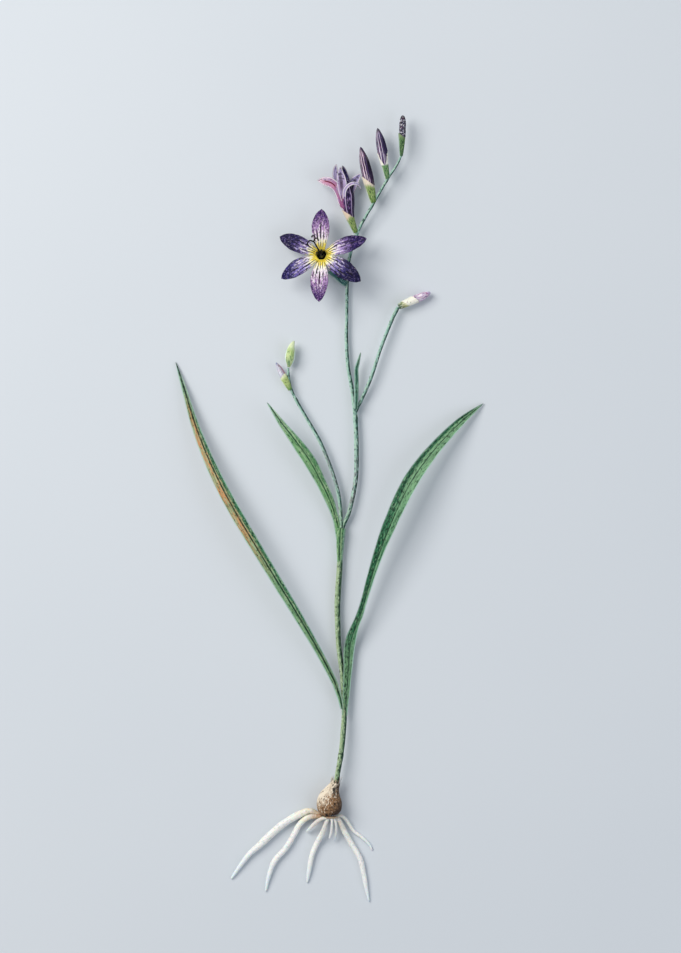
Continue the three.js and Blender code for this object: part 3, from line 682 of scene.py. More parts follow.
@dataclass(frozen=True)
class TepalFinish:
    """Tepals: yellow at the throat, pale inwards, violet, indigo or mauve outwards, stippled and veined.

    The marks dark and rosy say for each tepal how far it goes to indigo and to mauve, pale how much of that
    is held back, midline how dark its middle line is, lens how dark a patch lies on it and lens_at where
    across it, and seed sets its strokes apart from the others'.

    Attributes:
        veins: How dark the veins are.
        vein_count: How many lie to each side of the middle.
        flank: The inner colour of the rosy tepals.
        claw: That of the foot of them all, and rosy_claw what it goes to on the rosy ones.
        rosy_stipple: What the dark stipple goes to on the rosy tepals.
        lens: The colour of the patch.
        blush: The colour beside a drawn middle line.
    """

    name: str = "tepal"
    throat: str = "#0c110a"
    yellow: str | None = "#f4dc34"
    straw: str = "#fbf5c6"
    cream: str = "#f5eff5"
    lilac: str = "#968acb"
    rose: str = "#b38bba"
    violet: str = "#2f2684"
    mauve: str = "#553378"
    indigo: str = "#0a0740"
    stipple: str = "#07042a"
    vein: str = "#0b0518"
    line: str = "#6a1430"
    veins: float = 1.0
    vein_count: float = 2.5
    hem: str = "#f1ebf5"
    hem_width: float = 0.5
    flank: str | None = None
    claw: str | None = None
    rosy_claw: str = "#8f4d86"
    rosy_stipple: str = "#31144c"
    lens: str = "#1d0f30"
    blush: str = "#d88ba3"

    def material(self) -> bpy.types.Material:
        """Builds the nodes.

        Returns:
            The material.
        """
        g = Graph(self.name)
        u, v = g.grain()
        names = ("share", "half", "dark", "rosy", "pale", "seed")
        share, half, dark, rosy, pale, seed = (g.mark(name) for name in names)
        x = g.times(u, half)
        cloud = g.noise(g.vector(g.times(x, 0.9), g.times(v, 0.35), seed), detail=3.0, rough=0.6)
        reach = g.plus(share, g.scaled(cloud, 0.36, -0.18))
        reach = g.plus(reach, g.times(g.math("POWER", g.size(u), 2.0), 0.12))
        reach = g.plus(reach, g.plus(g.scaled(dark, 0.24, -0.12), g.times(pale, -0.3)))
        tinge = g.mix(rosy, self.lilac, self.rose)
        colour = g.mix(rosy, self.cream, self.flank or self.cream)
        colour = g.mix(g.band(reach, 0.2, 0.48), colour, tinge)
        colour = g.mix(g.band(reach, 0.42, 0.85), colour, g.mix(rosy, self.violet, self.mauve))
        colour = g.coat(colour, g.band(reach, 0.55, 0.86), dark, self.indigo)
        inner = g.band(reach, 0.85, 0.4)
        white = g.strokes(x, v, 0.5, 3.0, g.scaled(inner, 0.32, 0.12), seed)
        colour = g.coat(colour, white, g.scaled(inner, 0.6, 0.2), self.cream)
        seed = g.plus(seed, 9.0)
        dots = g.strokes(x, v, 0.6, 0.9, g.scaled(reach, 0.82, -0.06), seed)
        colour = g.coat(colour, dots, 0.75, g.coat(self.stipple, rosy, 0.5, self.rosy_stipple))
        sparks = g.strokes(x, v, 0.6, 0.7, g.scaled(reach, 0.22, 0.06), g.plus(seed, 5.0))
        colour = g.coat(colour, sparks, g.scaled(dark, -0.55, 0.75), tinge)
        beside = g.size(g.minus(u, g.mark("lens_at")))
        lens = g.times(g.band(beside, 0.5, 0.2), g.times(g.band(share, 0.2, 0.45), g.band(share, 0.9, 0.7)))
        colour = g.coat(colour, lens, g.mark("lens"), self.lens)
        if self.claw:
            colour = g.mix(g.band(share, 0.24, 0.08), colour, g.mix(rosy, self.claw, self.rosy_claw))
        if self.yellow:
            rays = g.strokes(x, v, 0.5, 3.0, 0.5, g.plus(seed, 3.0))
            ring = g.plus(v, g.scaled(rays, 1.4, -0.7))
            colour = g.mix(g.band(ring, 6.0, 4.4), colour, self.straw)
            colour = g.coat(colour, g.band(ring, 4.3, 2.9), 0.9, self.yellow)
        bent = g.plus(u, g.scaled(cloud, 0.2, -0.1))
        lines = g.stripes(bent, self.vein_count)
        away = g.times(lines, g.times(half, 1 / self.vein_count))
        line = g.times(away, g.scaled(g.band(v, 7.0, 2.2), 1.2, 1.0))
        middle = g.band(g.size(u), 0.28, 0.12)
        run = g.plus(g.scaled(middle, 0.18, 0.5), g.times(dark, 0.16))
        spell = g.times(g.band(v, 1.8, 3.0), g.band(g.minus(share, run), 0.08, -0.1))
        broken = g.scaled(g.strokes(x, v, 1.0, 4.0, 0.62, g.plus(seed, 7.0)), 0.85, 0.15)
        broken = g.times(broken, g.band(g.size(u), 0.92, 0.75))
        drawn = g.times(g.times(g.band(line, 0.36, 0.14), spell), broken)
        colour = g.coat(colour, drawn, g.scaled(pale, -0.7, self.veins), self.vein)
        spell = g.times(g.mark("midline"), g.band(share, 0.5, 0.62))
        blush = g.times(g.times(g.band(x, -1.4, -0.8), g.band(x, 0.5, 0.1)), g.times(spell, 0.5))
        colour = g.coat(colour, blush, g.band(share, 0.96, 0.84), self.blush)
        stroke = g.times(g.times(g.band(g.size(x), 0.34, 0.14), spell), g.band(share, 0.88, 0.8))
        colour = g.mix(stroke, colour, self.line)
        inset = g.inset(u, half)
        hem = g.band(inset, self.hem_width, self.hem_width * 0.45)
        colour = g.coat(colour, g.times(hem, pale), 0.75, self.hem)
        # A thin dark line just inside every margin: painted shade between overlapping tepals.
        colour = g.coat(colour, g.band(inset, 0.22, 0.06), 0.6, self.vein)
        if self.yellow:
            colour = g.mix(g.band(v, 1.5, 1.1), colour, self.throat)
        relief = g.plus(g.times(lines, 0.8), g.times(cloud, 0.6))
        return g.dress(colour, g.relief(relief, 0.1), g.scaled(cloud, 0.2, 0.5), **SOFT)


@dataclass(frozen=True)
class BractFinish:
    """A bract: green with dark and light strokes, pale and dry near its rim, and edged pale on its left.

    The paleness starts at pale_from of its height, and by lean sooner on the left and later on the right. The
    strokes are laid out as on a cup of the given girth and height, in millimetres. The pale edge on its left
    is a painted highlight.
    """

    name: str
    foot: str = "#527a34"
    body: str = "#7f9a58"
    rim: str = "#dcc0b0"
    deep: str = "#0e2c22"
    light: str = "#b3c68c"
    edge: str = "#bcdccf"
    flecks: float = 0.32
    streaks: float = 0.35
    edged: float = 0.8
    pale_from: float = 0.78
    lean: float = 0.0
    girth: float = 12.0
    height: float = 9.0

    def material(self) -> bpy.types.Material:
        """Builds the nodes.

        Returns:
            The material.
        """
        g = Graph(self.name)
        u, v = g.grain()
        x, y = g.times(u, self.girth), g.times(v, self.height)
        fibre = g.noise(g.vector(g.times(u, 22.0), g.times(v, 2.2)), detail=4.0, rough=0.6)
        height = g.plus(g.mark("rise"), g.scaled(fibre, 0.3, -0.15))
        colour = g.mix(g.band(height, 0.02, 0.5), self.foot, self.body)
        height = g.plus(height, g.times(g.mark("aside"), self.lean))
        colour = g.mix(g.band(height, self.pale_from, self.pale_from + 0.16), colour, self.rim)
        green = g.band(height, self.pale_from + 0.12, self.pale_from - 0.1)
        light = g.strokes(x, y, 0.5, 2.4, self.streaks, 1.0)
        colour = g.coat(colour, light, g.scaled(green, 0.5, 0.15), self.light)
        dark = g.strokes(x, y, 0.5, 1.2, g.scaled(green, self.flecks * 0.75, self.flecks * 0.25), 2.0)
        colour = g.coat(colour, dark, 0.8, self.deep)
        # Pale edge down the left flank: a painted highlight on the side towards the light.
        left = g.times(g.band(g.mark("aside"), 0.72, 0.95), self.edged)
        colour = g.coat(colour, left, g.scaled(green, 0.7, 0.3), self.edge)
        relief = g.plus(g.stripes(u, 24.0), g.times(fibre, 0.8))
        return g.dress(colour, g.relief(relief, 0.1), g.scaled(fibre, 0.2, 0.45), **SOFT)


@dataclass(frozen=True)
class CorollaFinish:
    """Furled tepals: dark, pale and rosy strokes wind with them, over tints of the foot, tip and sides.

    The side tints are painted light: a lighter left is a painted highlight, a darker right painted shade.

    Attributes:
        ground: The colour between the strokes.
        deep: Colour of the dark strokes.
        pale: Colour of the pale ones.
        rose: Colour of the rosy ones.
        foot: Colour at the foot.
        tip: Colour at the tip.
        left: Colour down the left side, a painted highlight, and right that down the right side, painted
            shade.
        shares: Share of dark, pale and rosy strokes.
        twist: How far the strokes wind, in turns.
        length: How long the strokes are, in millimetres.
        width: How wide they are.
        seams: Where the pale edge of a petal runs along it, from -1 at the left to 1 at the right.
        girth: How many millimetres round it the strokes are laid out on.
    """

    name: str
    ground: str = "#5f4a78"
    deep: str = "#150b26"
    pale: str = "#dcc6dc"
    rose: str = "#8b4a86"
    foot: str = "#5f4a78"
    tip: str = "#2a1a40"
    left: str | None = None
    right: str | None = None
    shares: tuple[float, float, float] = (0.42, 0.32, 0.2)
    twist: float = 0.056
    length: float = 5.0
    width: float = 0.5
    seams: tuple[float, ...] = ()
    girth: float = 12.0

    def material(self) -> bpy.types.Material:
        """Builds the nodes.

        Returns:
            The material.
        """
        g = Graph(self.name)
        u, v = g.grain()
        share, aside = g.mark("share"), g.mark("aside")
        x = g.times(g.plus(u, g.times(share, self.twist)), self.girth)
        fibre = g.noise(g.vector(g.times(x, 1.6), g.times(v, 0.3)), detail=4.0, rough=0.65)
        height = g.plus(share, g.scaled(fibre, 0.3, -0.15))
        colour = g.mix(g.band(height, 0.42, 0.15), self.ground, self.foot)
        dark, pale, rosy = self.shares
        layers = ((rosy, 1.0, 0.85, self.rose), (pale, 1.0, 0.8, self.pale), (dark, 0.7, 0.9, self.deep))
        for seed, (amount, reach, opacity, tint) in enumerate(layers, 1):
            strokes = g.strokes(x, v, self.width, self.length * reach, amount, float(seed))
            colour = g.coat(colour, strokes, opacity, tint)
        # Painted highlight down the left side and painted shade down the right.
        sideways = g.plus(aside, g.scaled(fibre, 0.8, -0.4))
        if self.left:
            colour = g.coat(colour, g.band(sideways, -0.35, -0.75), 0.75, self.left)
        if self.right:
            colour = g.coat(colour, g.band(sideways, 0.35, 0.8), 0.75, self.right)
        wander = g.plus(aside, g.scaled(g.noise(g.vector(0.0, g.times(v, 0.35)), detail=1.0), 0.24, -0.12))
        for seam in self.seams:
            beside = g.minus(wander, seam)
            colour = g.coat(colour, g.band(g.size(beside), 0.09, 0.03), 0.85, self.pale)
            edge = g.times(g.band(beside, 0.05, 0.1), g.band(beside, 0.24, 0.15))
            colour = g.coat(colour, edge, 0.85, self.deep)
        colour = g.coat(colour, g.band(height, 0.86, 1.0), 0.85, self.tip)
        relief = g.plus(g.stripes(x, 1.0), g.times(fibre, 0.6))
        return g.dress(colour, g.relief(relief, 0.1), g.scaled(fibre, 0.2, 0.45), **SOFT)


@dataclass(frozen=True)
class TunicFinish:
    """The corm's dry tunic: greyish tan, dark low on the right, cream high on the left, slit at its neck.

    The dark low right is painted shade and the cream high left a painted highlight; its brown and cream
    strokes gather with them.

    Attributes:
        girth: How many millimetres round it the strokes are laid out on.
    """

    name: str = "corm tunic"
    cream: str = "#ebdfcb"
    tan: str = "#93704f"
    brown: str = "#412d1e"
    dark: str = "#060608"
    girth: float = 28.0

    def material(self) -> bpy.types.Material:
        """Builds the nodes.

        Returns:
            The material.
        """
        g = Graph(self.name)
        u, v = g.grain()
        x = g.times(u, self.girth)
        fibre = g.noise(g.vector(g.times(u, 26.0), g.times(v, 0.3)), detail=5.0, rough=0.65)
        cloud = g.noise(g.vector(g.times(x, 0.25), g.times(v, 0.3)), detail=3.0, rough=0.6)
        # Painted light: cream painted highlight high on the left, brown painted shade low on the right.
        lit = g.plus(g.mark("lit"), g.scaled(cloud, 0.7, -0.35))
        colour = g.mix(g.band(lit, 0.1, 0.4), self.brown, self.tan)
        colour = g.mix(g.band(lit, 0.68, 1.0), colour, self.cream)
        light = g.strokes(x, v, 0.8, 1.3, g.scaled(lit, 0.6, -0.06), 1.0)
        colour = g.coat(colour, light, 0.75, self.cream)
        brown = g.strokes(x, v, 0.8, 1.0, g.scaled(lit, -0.5, 0.6), 2.0)
        colour = g.coat(colour, brown, 0.8, self.brown)
        dark = g.strokes(x, v, 0.9, 2.0, g.scaled(g.mark("torn"), 0.48, 0.07), 3.0)
        colour = g.coat(colour, dark, 0.95, self.dark)
        relief = g.plus(g.times(fibre, 1.2), g.times(cloud, 0.8))
        return g.dress(colour, g.relief(relief, 0.25), g.scaled(fibre, 0.2, 0.58), Specular_IOR_Level=0.3)


@dataclass(frozen=True)
class RootFinish:
    """Fleshy roots: blue-white with fine rings, yellow near the top of some, tan where they leave the corm.

    Attributes:
        girth: How many millimetres round each the strokes are laid out on.
    """

    name: str = "root skin"
    white: str = "#f4f6f4"
    yellow: str = "#eae0a4"
    tan: str = "#a07a56"
    tip: str = "#e4f2f8"
    shade: str = "#a9b7bd"
    girth: float = 7.0

    def material(self) -> bpy.types.Material:
        """Builds the nodes.

        Returns:
            The material.
        """
        g = Graph(self.name)
        u, v = g.grain()
        strand, tan = g.mark("strand"), g.mark("tan")
        patch = g.noise(g.vector(g.times(u, 2.0), g.times(v, 0.35), strand), detail=3.0)
        rings = g.noise(g.vector(g.times(u, 1.6), g.times(v, 3.5), strand), detail=4.0, rough=0.6)
        fine = g.strokes(g.times(u, self.girth), v, 0.4, 1.4, 0.25, strand)
        colour = g.coat(self.white, fine, 0.5, self.shade)
        yellow = g.times(g.band(g.plus(v, g.times(patch, 8.0)), 22.0, 12.0), g.band(patch, 0.42, 0.55))
        colour = g.coat(colour, yellow, g.scaled(tan, 0.45, 0.0), self.yellow)
        colour = g.coat(colour, g.band(g.mark("share"), 0.6, 1.0), 0.8, self.tip)
        browned = g.times(tan, g.band(g.plus(v, g.times(patch, 5.0)), 12.0, 6.0))
        colour = g.coat(colour, browned, g.scaled(g.band(rings, 0.3, 0.6), 0.6, 0.4), self.tan)
        return g.dress(colour, g.relief(rings, 0.16), g.scaled(rings, 0.2, 0.38), **FLESHY)


@dataclass(frozen=True)
class DuskFinish:
    """The dark parts inside the flower: a near-black skin with a grain of its own."""

    name: str
    ground: str
    glint: str
    grain_size: float

    def material(self) -> bpy.types.Material:
        """Builds the nodes.

        Returns:
            The material.
        """
        g = Graph(self.name)
        grain = g.noise(g.place(), scale=1 / (self.grain_size * MM), detail=3.0, rough=0.6)
        colour = g.mix(g.band(grain, 0.55, 0.75), self.ground, self.glint)
        return g.dress(colour, g.relief(grain, 0.08), g.scaled(grain, 0.3, 0.35), Specular_IOR_Level=0.3)


# Pieces


def spread(count: int) -> Array:
    """Places from 1 to -1 and back, closer together at both ends: half cos(angle), half even steps.

    Args:
        count: How many places one way.

    Returns:
        2 x count places, once round a blade from its right margin over the upper face and back below.
    """
    angle = np.arange(2 * count) * pi / count
    even = np.abs(angle / pi - 1) * 2 - 1
    return 0.5 * np.cos(angle) + 0.5 * even


def face_signs(count: int) -> Array:
    """1 for the upper and -1 for the lower face, at each of the places that spread gives."""
    return np.repeat([1.0, -1.0], count)


def tip_round(share: Array, last: float) -> Array:
    """Narrows a blade to a point over its last stretch, by sqrt(1 - s^2) at the share s of that stretch.

    Args:
        share: Share of the blade's length.
        last: How much of the length the stretch takes.

    Returns:
        A factor for the width.
    """
    s = np.clip((share - 1 + last) / last, 0, 0.995)
    return np.sqrt(1 - s * s)


@dataclass(frozen=True)
class Leaf:
    """A sword-shaped leaf, folded along its midrib, whose foot opens as two flaps that clasp the stem.

    Attributes:
        name: The piece's name.
        node: The solid that it stands for.
        stations: x, y, z, half width, bank in degrees and how far the foot's flaps stand apart. The sign of
            the last says which margin is open, negative for the left.
        finish: Its material.
        seed: Picks its small waves.
        edge: Thickness beside the margins.
        rib: Further thickness at the midrib.
        fold: Rise of the margins over the midrib, per mm of half width.
        wall: Least thickness of a flap.
        spacing: Millimetres between rows.
        columns: Columns on each face.
        pocket: Columns on each face between the flaps.
    """

    name: str
    node: str
    stations: Stations
    finish: LeafFinish
    seed: int
    edge: float = 0.34
    rib: float = 0.42
    fold: float = 0.28
    wall: float = 0.14
    spacing: float = 0.5
    columns: int = 34
    pocket: int = 12

    def skin(self) -> Skin:
        """Works out the surface.

        At a share a across, from -1 to 1, with half width w and flaps F apart: the middle rises by
        fold * w * |a| * (1 - F). The half thickness is that of the blade, rounded off at the margins by
        sqrt(1 - a^8), with the midrib's bell, plus F * (1 + open * a) / 4. The inner faces follow one wall
        inside the outer ones, and where F is 0 they lie together in the middle of the blade.

        Returns:
            The skin.
        """
        route = Route.through(self.stations, self.spacing)
        share, run = route.share[:, None], route.run[:, None]
        half = route.values[:, :1] * tip_round(share, 0.03)
        foot = route.values[:, 2:3]
        open_side = -1.0 if self.stations[0][5] < 0 else 1.0
        flaps = np.maximum(foot * open_side, 0)
        inner = [np.linspace(0.97, -0.9, self.pocket), np.linspace(-0.9, 0.97, self.pocket)]
        a = np.concatenate([spread(self.columns), *inner]) * open_side
        below = self.columns + self.pocket
        upper = np.concatenate([np.ones(self.columns), -np.ones(below), np.ones(self.pocket)])
        inside = np.arange(len(a)) >= 2 * self.columns
        mm = a * half
        blade = (self.edge + (1 - np.abs(a)) * 0.16) * np.sqrt(1 - np.clip(np.abs(a), 0, 1) ** 8)
        blade = blade + self.rib * np.exp(-((mm / 0.34) ** 2)) * step(half, 0.2, 1.4)
        parted = flaps * (1 + open_side * a) / 4
        thick = np.where(inside, np.maximum(parted - self.wall, 0.01), blade / 2 + parted)
        soft = np.sqrt(a * a + 0.012) - 0.1
        middle = self.fold * half * soft * np.maximum(0, 1 - flaps)
        veins = 0.02 * np.cos(a * TAU * 6.5) * step(half, 0.4, 1.6) * (1 - a**4) * ~inside
        free = step(run, 14, 30)
        sway = 0.1 * ripple(run, 19, self.seed) * a * np.abs(a) * free * (1 - step(share, 0.85, 1))
        edge_wave = 1 + 0.02 * ripple(run, 11, self.seed + 1) * free
        points = route.carry(mm * edge_wave, middle + upper * (thick + veins) + sway)
        marks = {"half": half, "share": share}
        return Skin(points, np.append(a, a[0]), route.run, marks)

    def make(self) -> None:
        """Makes the leaf."""
        seat(self.name, [self.skin(), *self.extras()], self.finish.material(), Slot.LEAF, self.node)

    def extras(self) -> list[Skin]:
        """What else belongs to the leaf."""
        return []


def tube(
    stations: Stations, spacing: float, sides: int, side: Array | None = None, **marks: Array | float
) -> Skin:
    """A round skin along a route, with the radius that the stations give.

    At an angle t round the route the point is place + r cos t across + r sin t above. The last stretch is
    rounded off to the tip.

    Args:
        stations: x, y, z and radius.
        spacing: Millimetres between rows.
        sides: Columns round it.
        side: A direction that "across" keeps to.
        marks: Numbers for the finish.

    Returns:
        The skin, with the marks half and share besides those given.
    """
    route = Route.through(stations, spacing, side)
    turn = circuit(sides) - pi / 2
    radius = route.values[:, :1] * tip_round(route.share[:, None], 0.02)
    points = route.circle(radius, turn)
    kept = {"half": radius, "share": route.share[:, None], **marks}
    return Skin(points, lap(sides), route.run, kept)


@dataclass(frozen=True)
class SheathedLeaf(Leaf):
    """A leaf whose foot is a whole sheath round the stem.

    Attributes:
        sheath: x, y, z and radius of the sheath, from where it lifts off the stem.
    """

    sheath: Stations = ()

    def extras(self) -> list[Skin]:
        """The sheath: a tube that widens up the stem, seen as the lower end of the leaf."""
        skin = tube(self.sheath, 0.4, 40, share=0.0)
        around = np.sin(skin.around * TAU - 0.3)
        return [Skin(skin.points, around, skin.along - skin.along[-1], skin.marks)]


@dataclass(frozen=True)
class Stem:
    """The stem with its two branches, grown as one.

    Attributes:
        main: x, y, z and radius, from the corm to the last bud.
        left_branch: The same for the branch to the two left buds.
        right_branch: The same for the branch to the right bud.
        finish: Its material.
        spacing: Millimetres between rows.
        sides: Columns round it.
        rim_at: Where along the stem the lowest sheath ends, in millimetres.
        nodes_at: Where along the stem a bud or leaf stands.
    """

    main: Stations
    left_branch: Stations
    right_branch: Stations
    finish: StemFinish = StemFinish()
    spacing: float = 0.5
    sides: int = 28
    rim_at: float = 13.4
    nodes_at: tuple[float, ...] = (149.0, 223.0, 236.0, 248.0)

    def rod(
        self, stations: Stations, rims: Sequence[float], nodes: Sequence[float], blush: Sequence[float]
    ) -> Skin:
        """One stem or branch: finely ridged, a fifth thicker at each node, with a low lip at a sheath's rim.

        Args:
            stations: Its route.
            rims: Where a sheath ends, in millimetres along it.
            nodes: Where a bud or leaf stands.
            blush: Where it is purplish, from and to.

        Returns:
            The skin.
        """
        route = Route.through(stations, self.spacing)
        turn = circuit(self.sides) - pi / 2
        run = route.run[:, None]
        radius = route.values[:, :1] * (1 + 0.02 * ripple(run, 13, len(stations)))
        ring = np.zeros_like(run)
        for rim in rims:
            radius = radius + 0.12 * step(run, rim - 3, rim) * (1 - step(run, rim, rim + 0.5))
            ring = ring + step(run, rim - 0.1, rim + 0.2) * (1 - step(run, rim + 0.5, rim + 0.8))
        for node in nodes:
            radius = radius * (1 + 0.2 * np.exp(-(((run - node) / 1.1) ** 2)))
        ridges = 1 + 0.02 * np.cos(7 * turn + run * 0.01)
        points = route.circle(radius * ridges, turn)
        low, high = blush
        tinged = step(run, low, low + 8) * (1 - step(run, high - 8, high))
        marks = {"half": radius, "blush": tinged, "ring": ring, "upper": step(points[..., 1], 90, 130)}
        return Skin(points, lap(self.sides), route.run, marks)

    def make(self) -> None:
        """Makes the stem."""
        nowhere = (900, 999)  # past the end of every branch
        skins = [
            self.rod(self.main, [self.rim_at], self.nodes_at, (108, 138)),
            self.rod(self.left_branch, [], [62.0], (20, 44)),
            self.rod(self.right_branch, [], [1.0], nowhere),
        ]
        seat("stem_and_branches", skins, self.finish.material(), Slot.STEM, "stem")


@dataclass(frozen=True)
class Corm:
    """The corm in its dry tunic, torn into teeth round the stem, with loose shreds at its neck.

    Attributes:
        stations: x, y, z and radius from its foot to its neck.
        teeth: How many teeth the neck is torn into.
        tooth: How far they rise.
        shreds: How many loose shreds stand at the neck.
        neck: The middle of the neck, and neck_radius how far out from it the shreds stand.
        wall: Thickness of the tunic round the hollow of the neck.
        floor: How far along the corm that hollow ends, as a share.
        sides: Columns round it.
        finish: Its material.
    """

    stations: Stations
    teeth: int = 5
    tooth: float = 1.0
    shreds: int = 16
    neck: tuple[float, float, float] = (2.1, 7.2, 4.8)
    neck_radius: float = 1.85
    wall: float = 0.25
    floor: float = 0.66
    sides: int = 112
    finish: TunicFinish = TunicFinish()

    def lit(self, points: Array) -> Array:
        """Painted light at each point: a painted highlight to the upper left, painted shade to the lower
        right.
        """
        x, y = points[..., 0], points[..., 1]
        return np.clip(0.44 - 0.068 * x + 0.072 * y + 0.03 * (points[..., 2] - 4.6), 0, 1)

    def body(self) -> Skin:
        """The tunic as a bottle: up from the foot to the torn rim, over it and back down inside to a floor.

        The radius is the stations', less the wall on the way back, with fine lengthwise ridges and a slow
        dent. The rim rises by the teeth, each a triangle wave to the power 1.3. Nothing goes below the
        surface.

        Returns:
            The skin.
        """
        route = Route.through(self.stations, 0.22, ACROSS)
        rows = len(route.run)
        back = np.arange(rows - 2, int(rows * self.floor), -1)
        order = np.concatenate([np.arange(rows), back])
        inside = (np.arange(len(order)) >= rows)[:, None]
        turn = circuit(self.sides)
        share = route.share[order][:, None]
        radius = route.values[order][:, :1] - np.where(inside, self.wall, 0)
        ridges = 0.035 * np.cos(23 * turn + 2 * ripple(share * 9, 3, 4)) + 0.02 * np.cos(41 * turn)
        dents = 0.09 * np.sin(2 * turn + 5 * share) + 0.06 * np.sin(3 * turn - 4 * share)
        radius = radius + (ridges + dents * step(share, 0.02, 0.2)) * step(radius, 0.6, 2.4)
        wave = np.abs((turn * self.teeth / TAU) % 1 * 2 - 1) ** 1.3 * (0.75 + 0.25 * np.sin(3 * turn + 1))
        rise = self.tooth * wave * step(share, 0.86, 1.0)
        place = route.rows(order)
        points = place.circle(radius, turn)
        points = points + rise[..., None] * np.array([0.3, 1.0, 0.0])
        points[..., 2] = np.maximum(points[..., 2], 0)
        torn = step(points[..., 1], 1.5, 5.0) * step(points[..., 0] - 0.1 * points[..., 1], -0.6, 1.4)
        low = 1 - step(points[..., 1], -4.6, -3.4)
        # Inside the neck's hollow the tunic is set to 0.2: painted shade in the recess.
        marks = {"lit": np.where(inside, 0.2, self.lit(points)), "torn": np.maximum(torn, low)}
        return Skin(points, lap(self.sides), place.run, marks)

    def shred(self, index: int) -> Skin:
        """A loose strip of tunic at the neck: it leaves the neck and leans out a little from the stem.

        Args:
            index: Which one, which seeds its length, width and lean.

        Returns:
            The skin.
        """
        draw = np.random.default_rng(40 + index)
        turn = TAU * (index + draw.uniform(-0.3, 0.3)) / self.shreds
        out = np.array([np.cos(turn), 0.0, np.sin(turn)])
        rim = np.array(self.neck) + out * self.neck_radius
        foot = rim - np.array([0.9, 2.6, 0.12])
        reach, lean = draw.uniform(2.6, 4.6), draw.uniform(-0.35, 0.3)
        along = unit(np.array([0.17, 1.0, 0.0]))
        width = draw.uniform(0.14, 0.34)
        stations = []
        for t, w in zip((0.0, 0.35, 0.7, 1.0), (width, width * 1.1, width * 0.7, 0.04)):
            point = foot + (rim - foot) * min(1, t * 2) * 0.9 + along * reach * t + out * lean * t * t * 2
            stations.append([*point, w, 0.0])
        route = Route.through(stations, 0.3, np.cross(out, along))
        columns = 6
        a = spread(columns)
        half = route.values[:, :1]
        points = route.carry(a * half, face_signs(columns) * 0.06 * np.sqrt(1 - a**4) + 0.1 * a * a * half)
        points[..., 2] = np.maximum(points[..., 2], 0)
        # The shreds take the same painted light, each a little lighter or darker.
        marks = {"lit": self.lit(points) * draw.uniform(0.7, 1.3), "torn": float(out[0] > 0.2)}
        return Skin(points, np.append(a, a[0]), route.run, marks)

    def make(self) -> None:
        """Makes the corm."""
        skins = [self.body(), *(self.shred(index) for index in range(self.shreds))]
        seat("corm_in_tunic", skins, self.finish.material(), Slot.TUNIC, "corm")


@dataclass(frozen=True)
class Roots:
    """The root plate under the corm and its eight roots.

    Attributes:
        strands: x, y, z and radius of each root, from the plate to the tip.
        browned: How far each root is tan where it leaves the plate, 0 to 1.
        plate: Centre of the root plate.
        plate_radius: Its radius beside the corm.
        plate_thickness: Its thickness.
        sides: Columns round a root.
        finish: Their material.
    """

    strands: Sequence[Stations]
    browned: Sequence[float]
    plate: tuple[float, float, float] = (0.45, -5.5, 4.5)
    plate_radius: float = 3.1
    plate_thickness: float = 0.8
    sides: int = 28
    finish: RootFinish = RootFinish()

    def strand(self, index: int) -> Skin:
        """A root: a tube whose radius swells and shrinks a little along it, and from side to side.

        Args:
            index: Which root.

        Returns:
            The skin.
        """
        route = Route.through(self.strands[index], 0.35, UP)
        turn = circuit(self.sides)
        run, share = route.run[:, None], route.share[:, None]
        swell = 1 + 0.05 * ripple(run, 5, index) + 0.03 * np.cos(2 * turn + run / 3)
        radius = route.values[:, :1] * swell * tip_round(share, 0.03)
        points = route.circle(radius, turn)
        points[..., 2] = np.maximum(points[..., 2], 0.01)
        marks = {"share": share, "strand": float(index), "tan": self.browned[index]}
        return Skin(points, lap(self.sides), route.run, marks)

    def disc(self) -> Skin:
        """The root plate: a knobbly disc turned about Y, its profile a rounded box that narrows downwards."""
        sides = 64
        turn = circuit(sides)
        low, high = -self.plate_thickness / 2, self.plate_thickness / 2
        height = np.array([low, low, low * 0.6, 0.0, high * 0.6, high, high])[:, None]
        share = np.array([0.3, 0.7, 0.8, 0.9, 0.98, 0.94, 0.3])[:, None]
        radius = self.plate_radius * share * (1 + 0.04 * np.cos(9 * turn) + 0.02 * np.cos(17 * turn))
        x, z = radius * np.cos(turn), radius * np.sin(turn)
        points = np.stack([x, np.broadcast_to(height, x.shape), z], -1) + np.array(self.plate)
        along = np.arange(len(height)) * 0.2
        return Skin(points, lap(sides), along, {"tan": 0.9, "strand": 20.0})

    def make(self) -> None:
        """Makes the roots."""
        skins = [self.disc(), *(self.strand(index) for index in range(len(self.strands)))]
        seat("roots_and_plate", skins, self.finish.material(), Slot.ROOT, "roots")


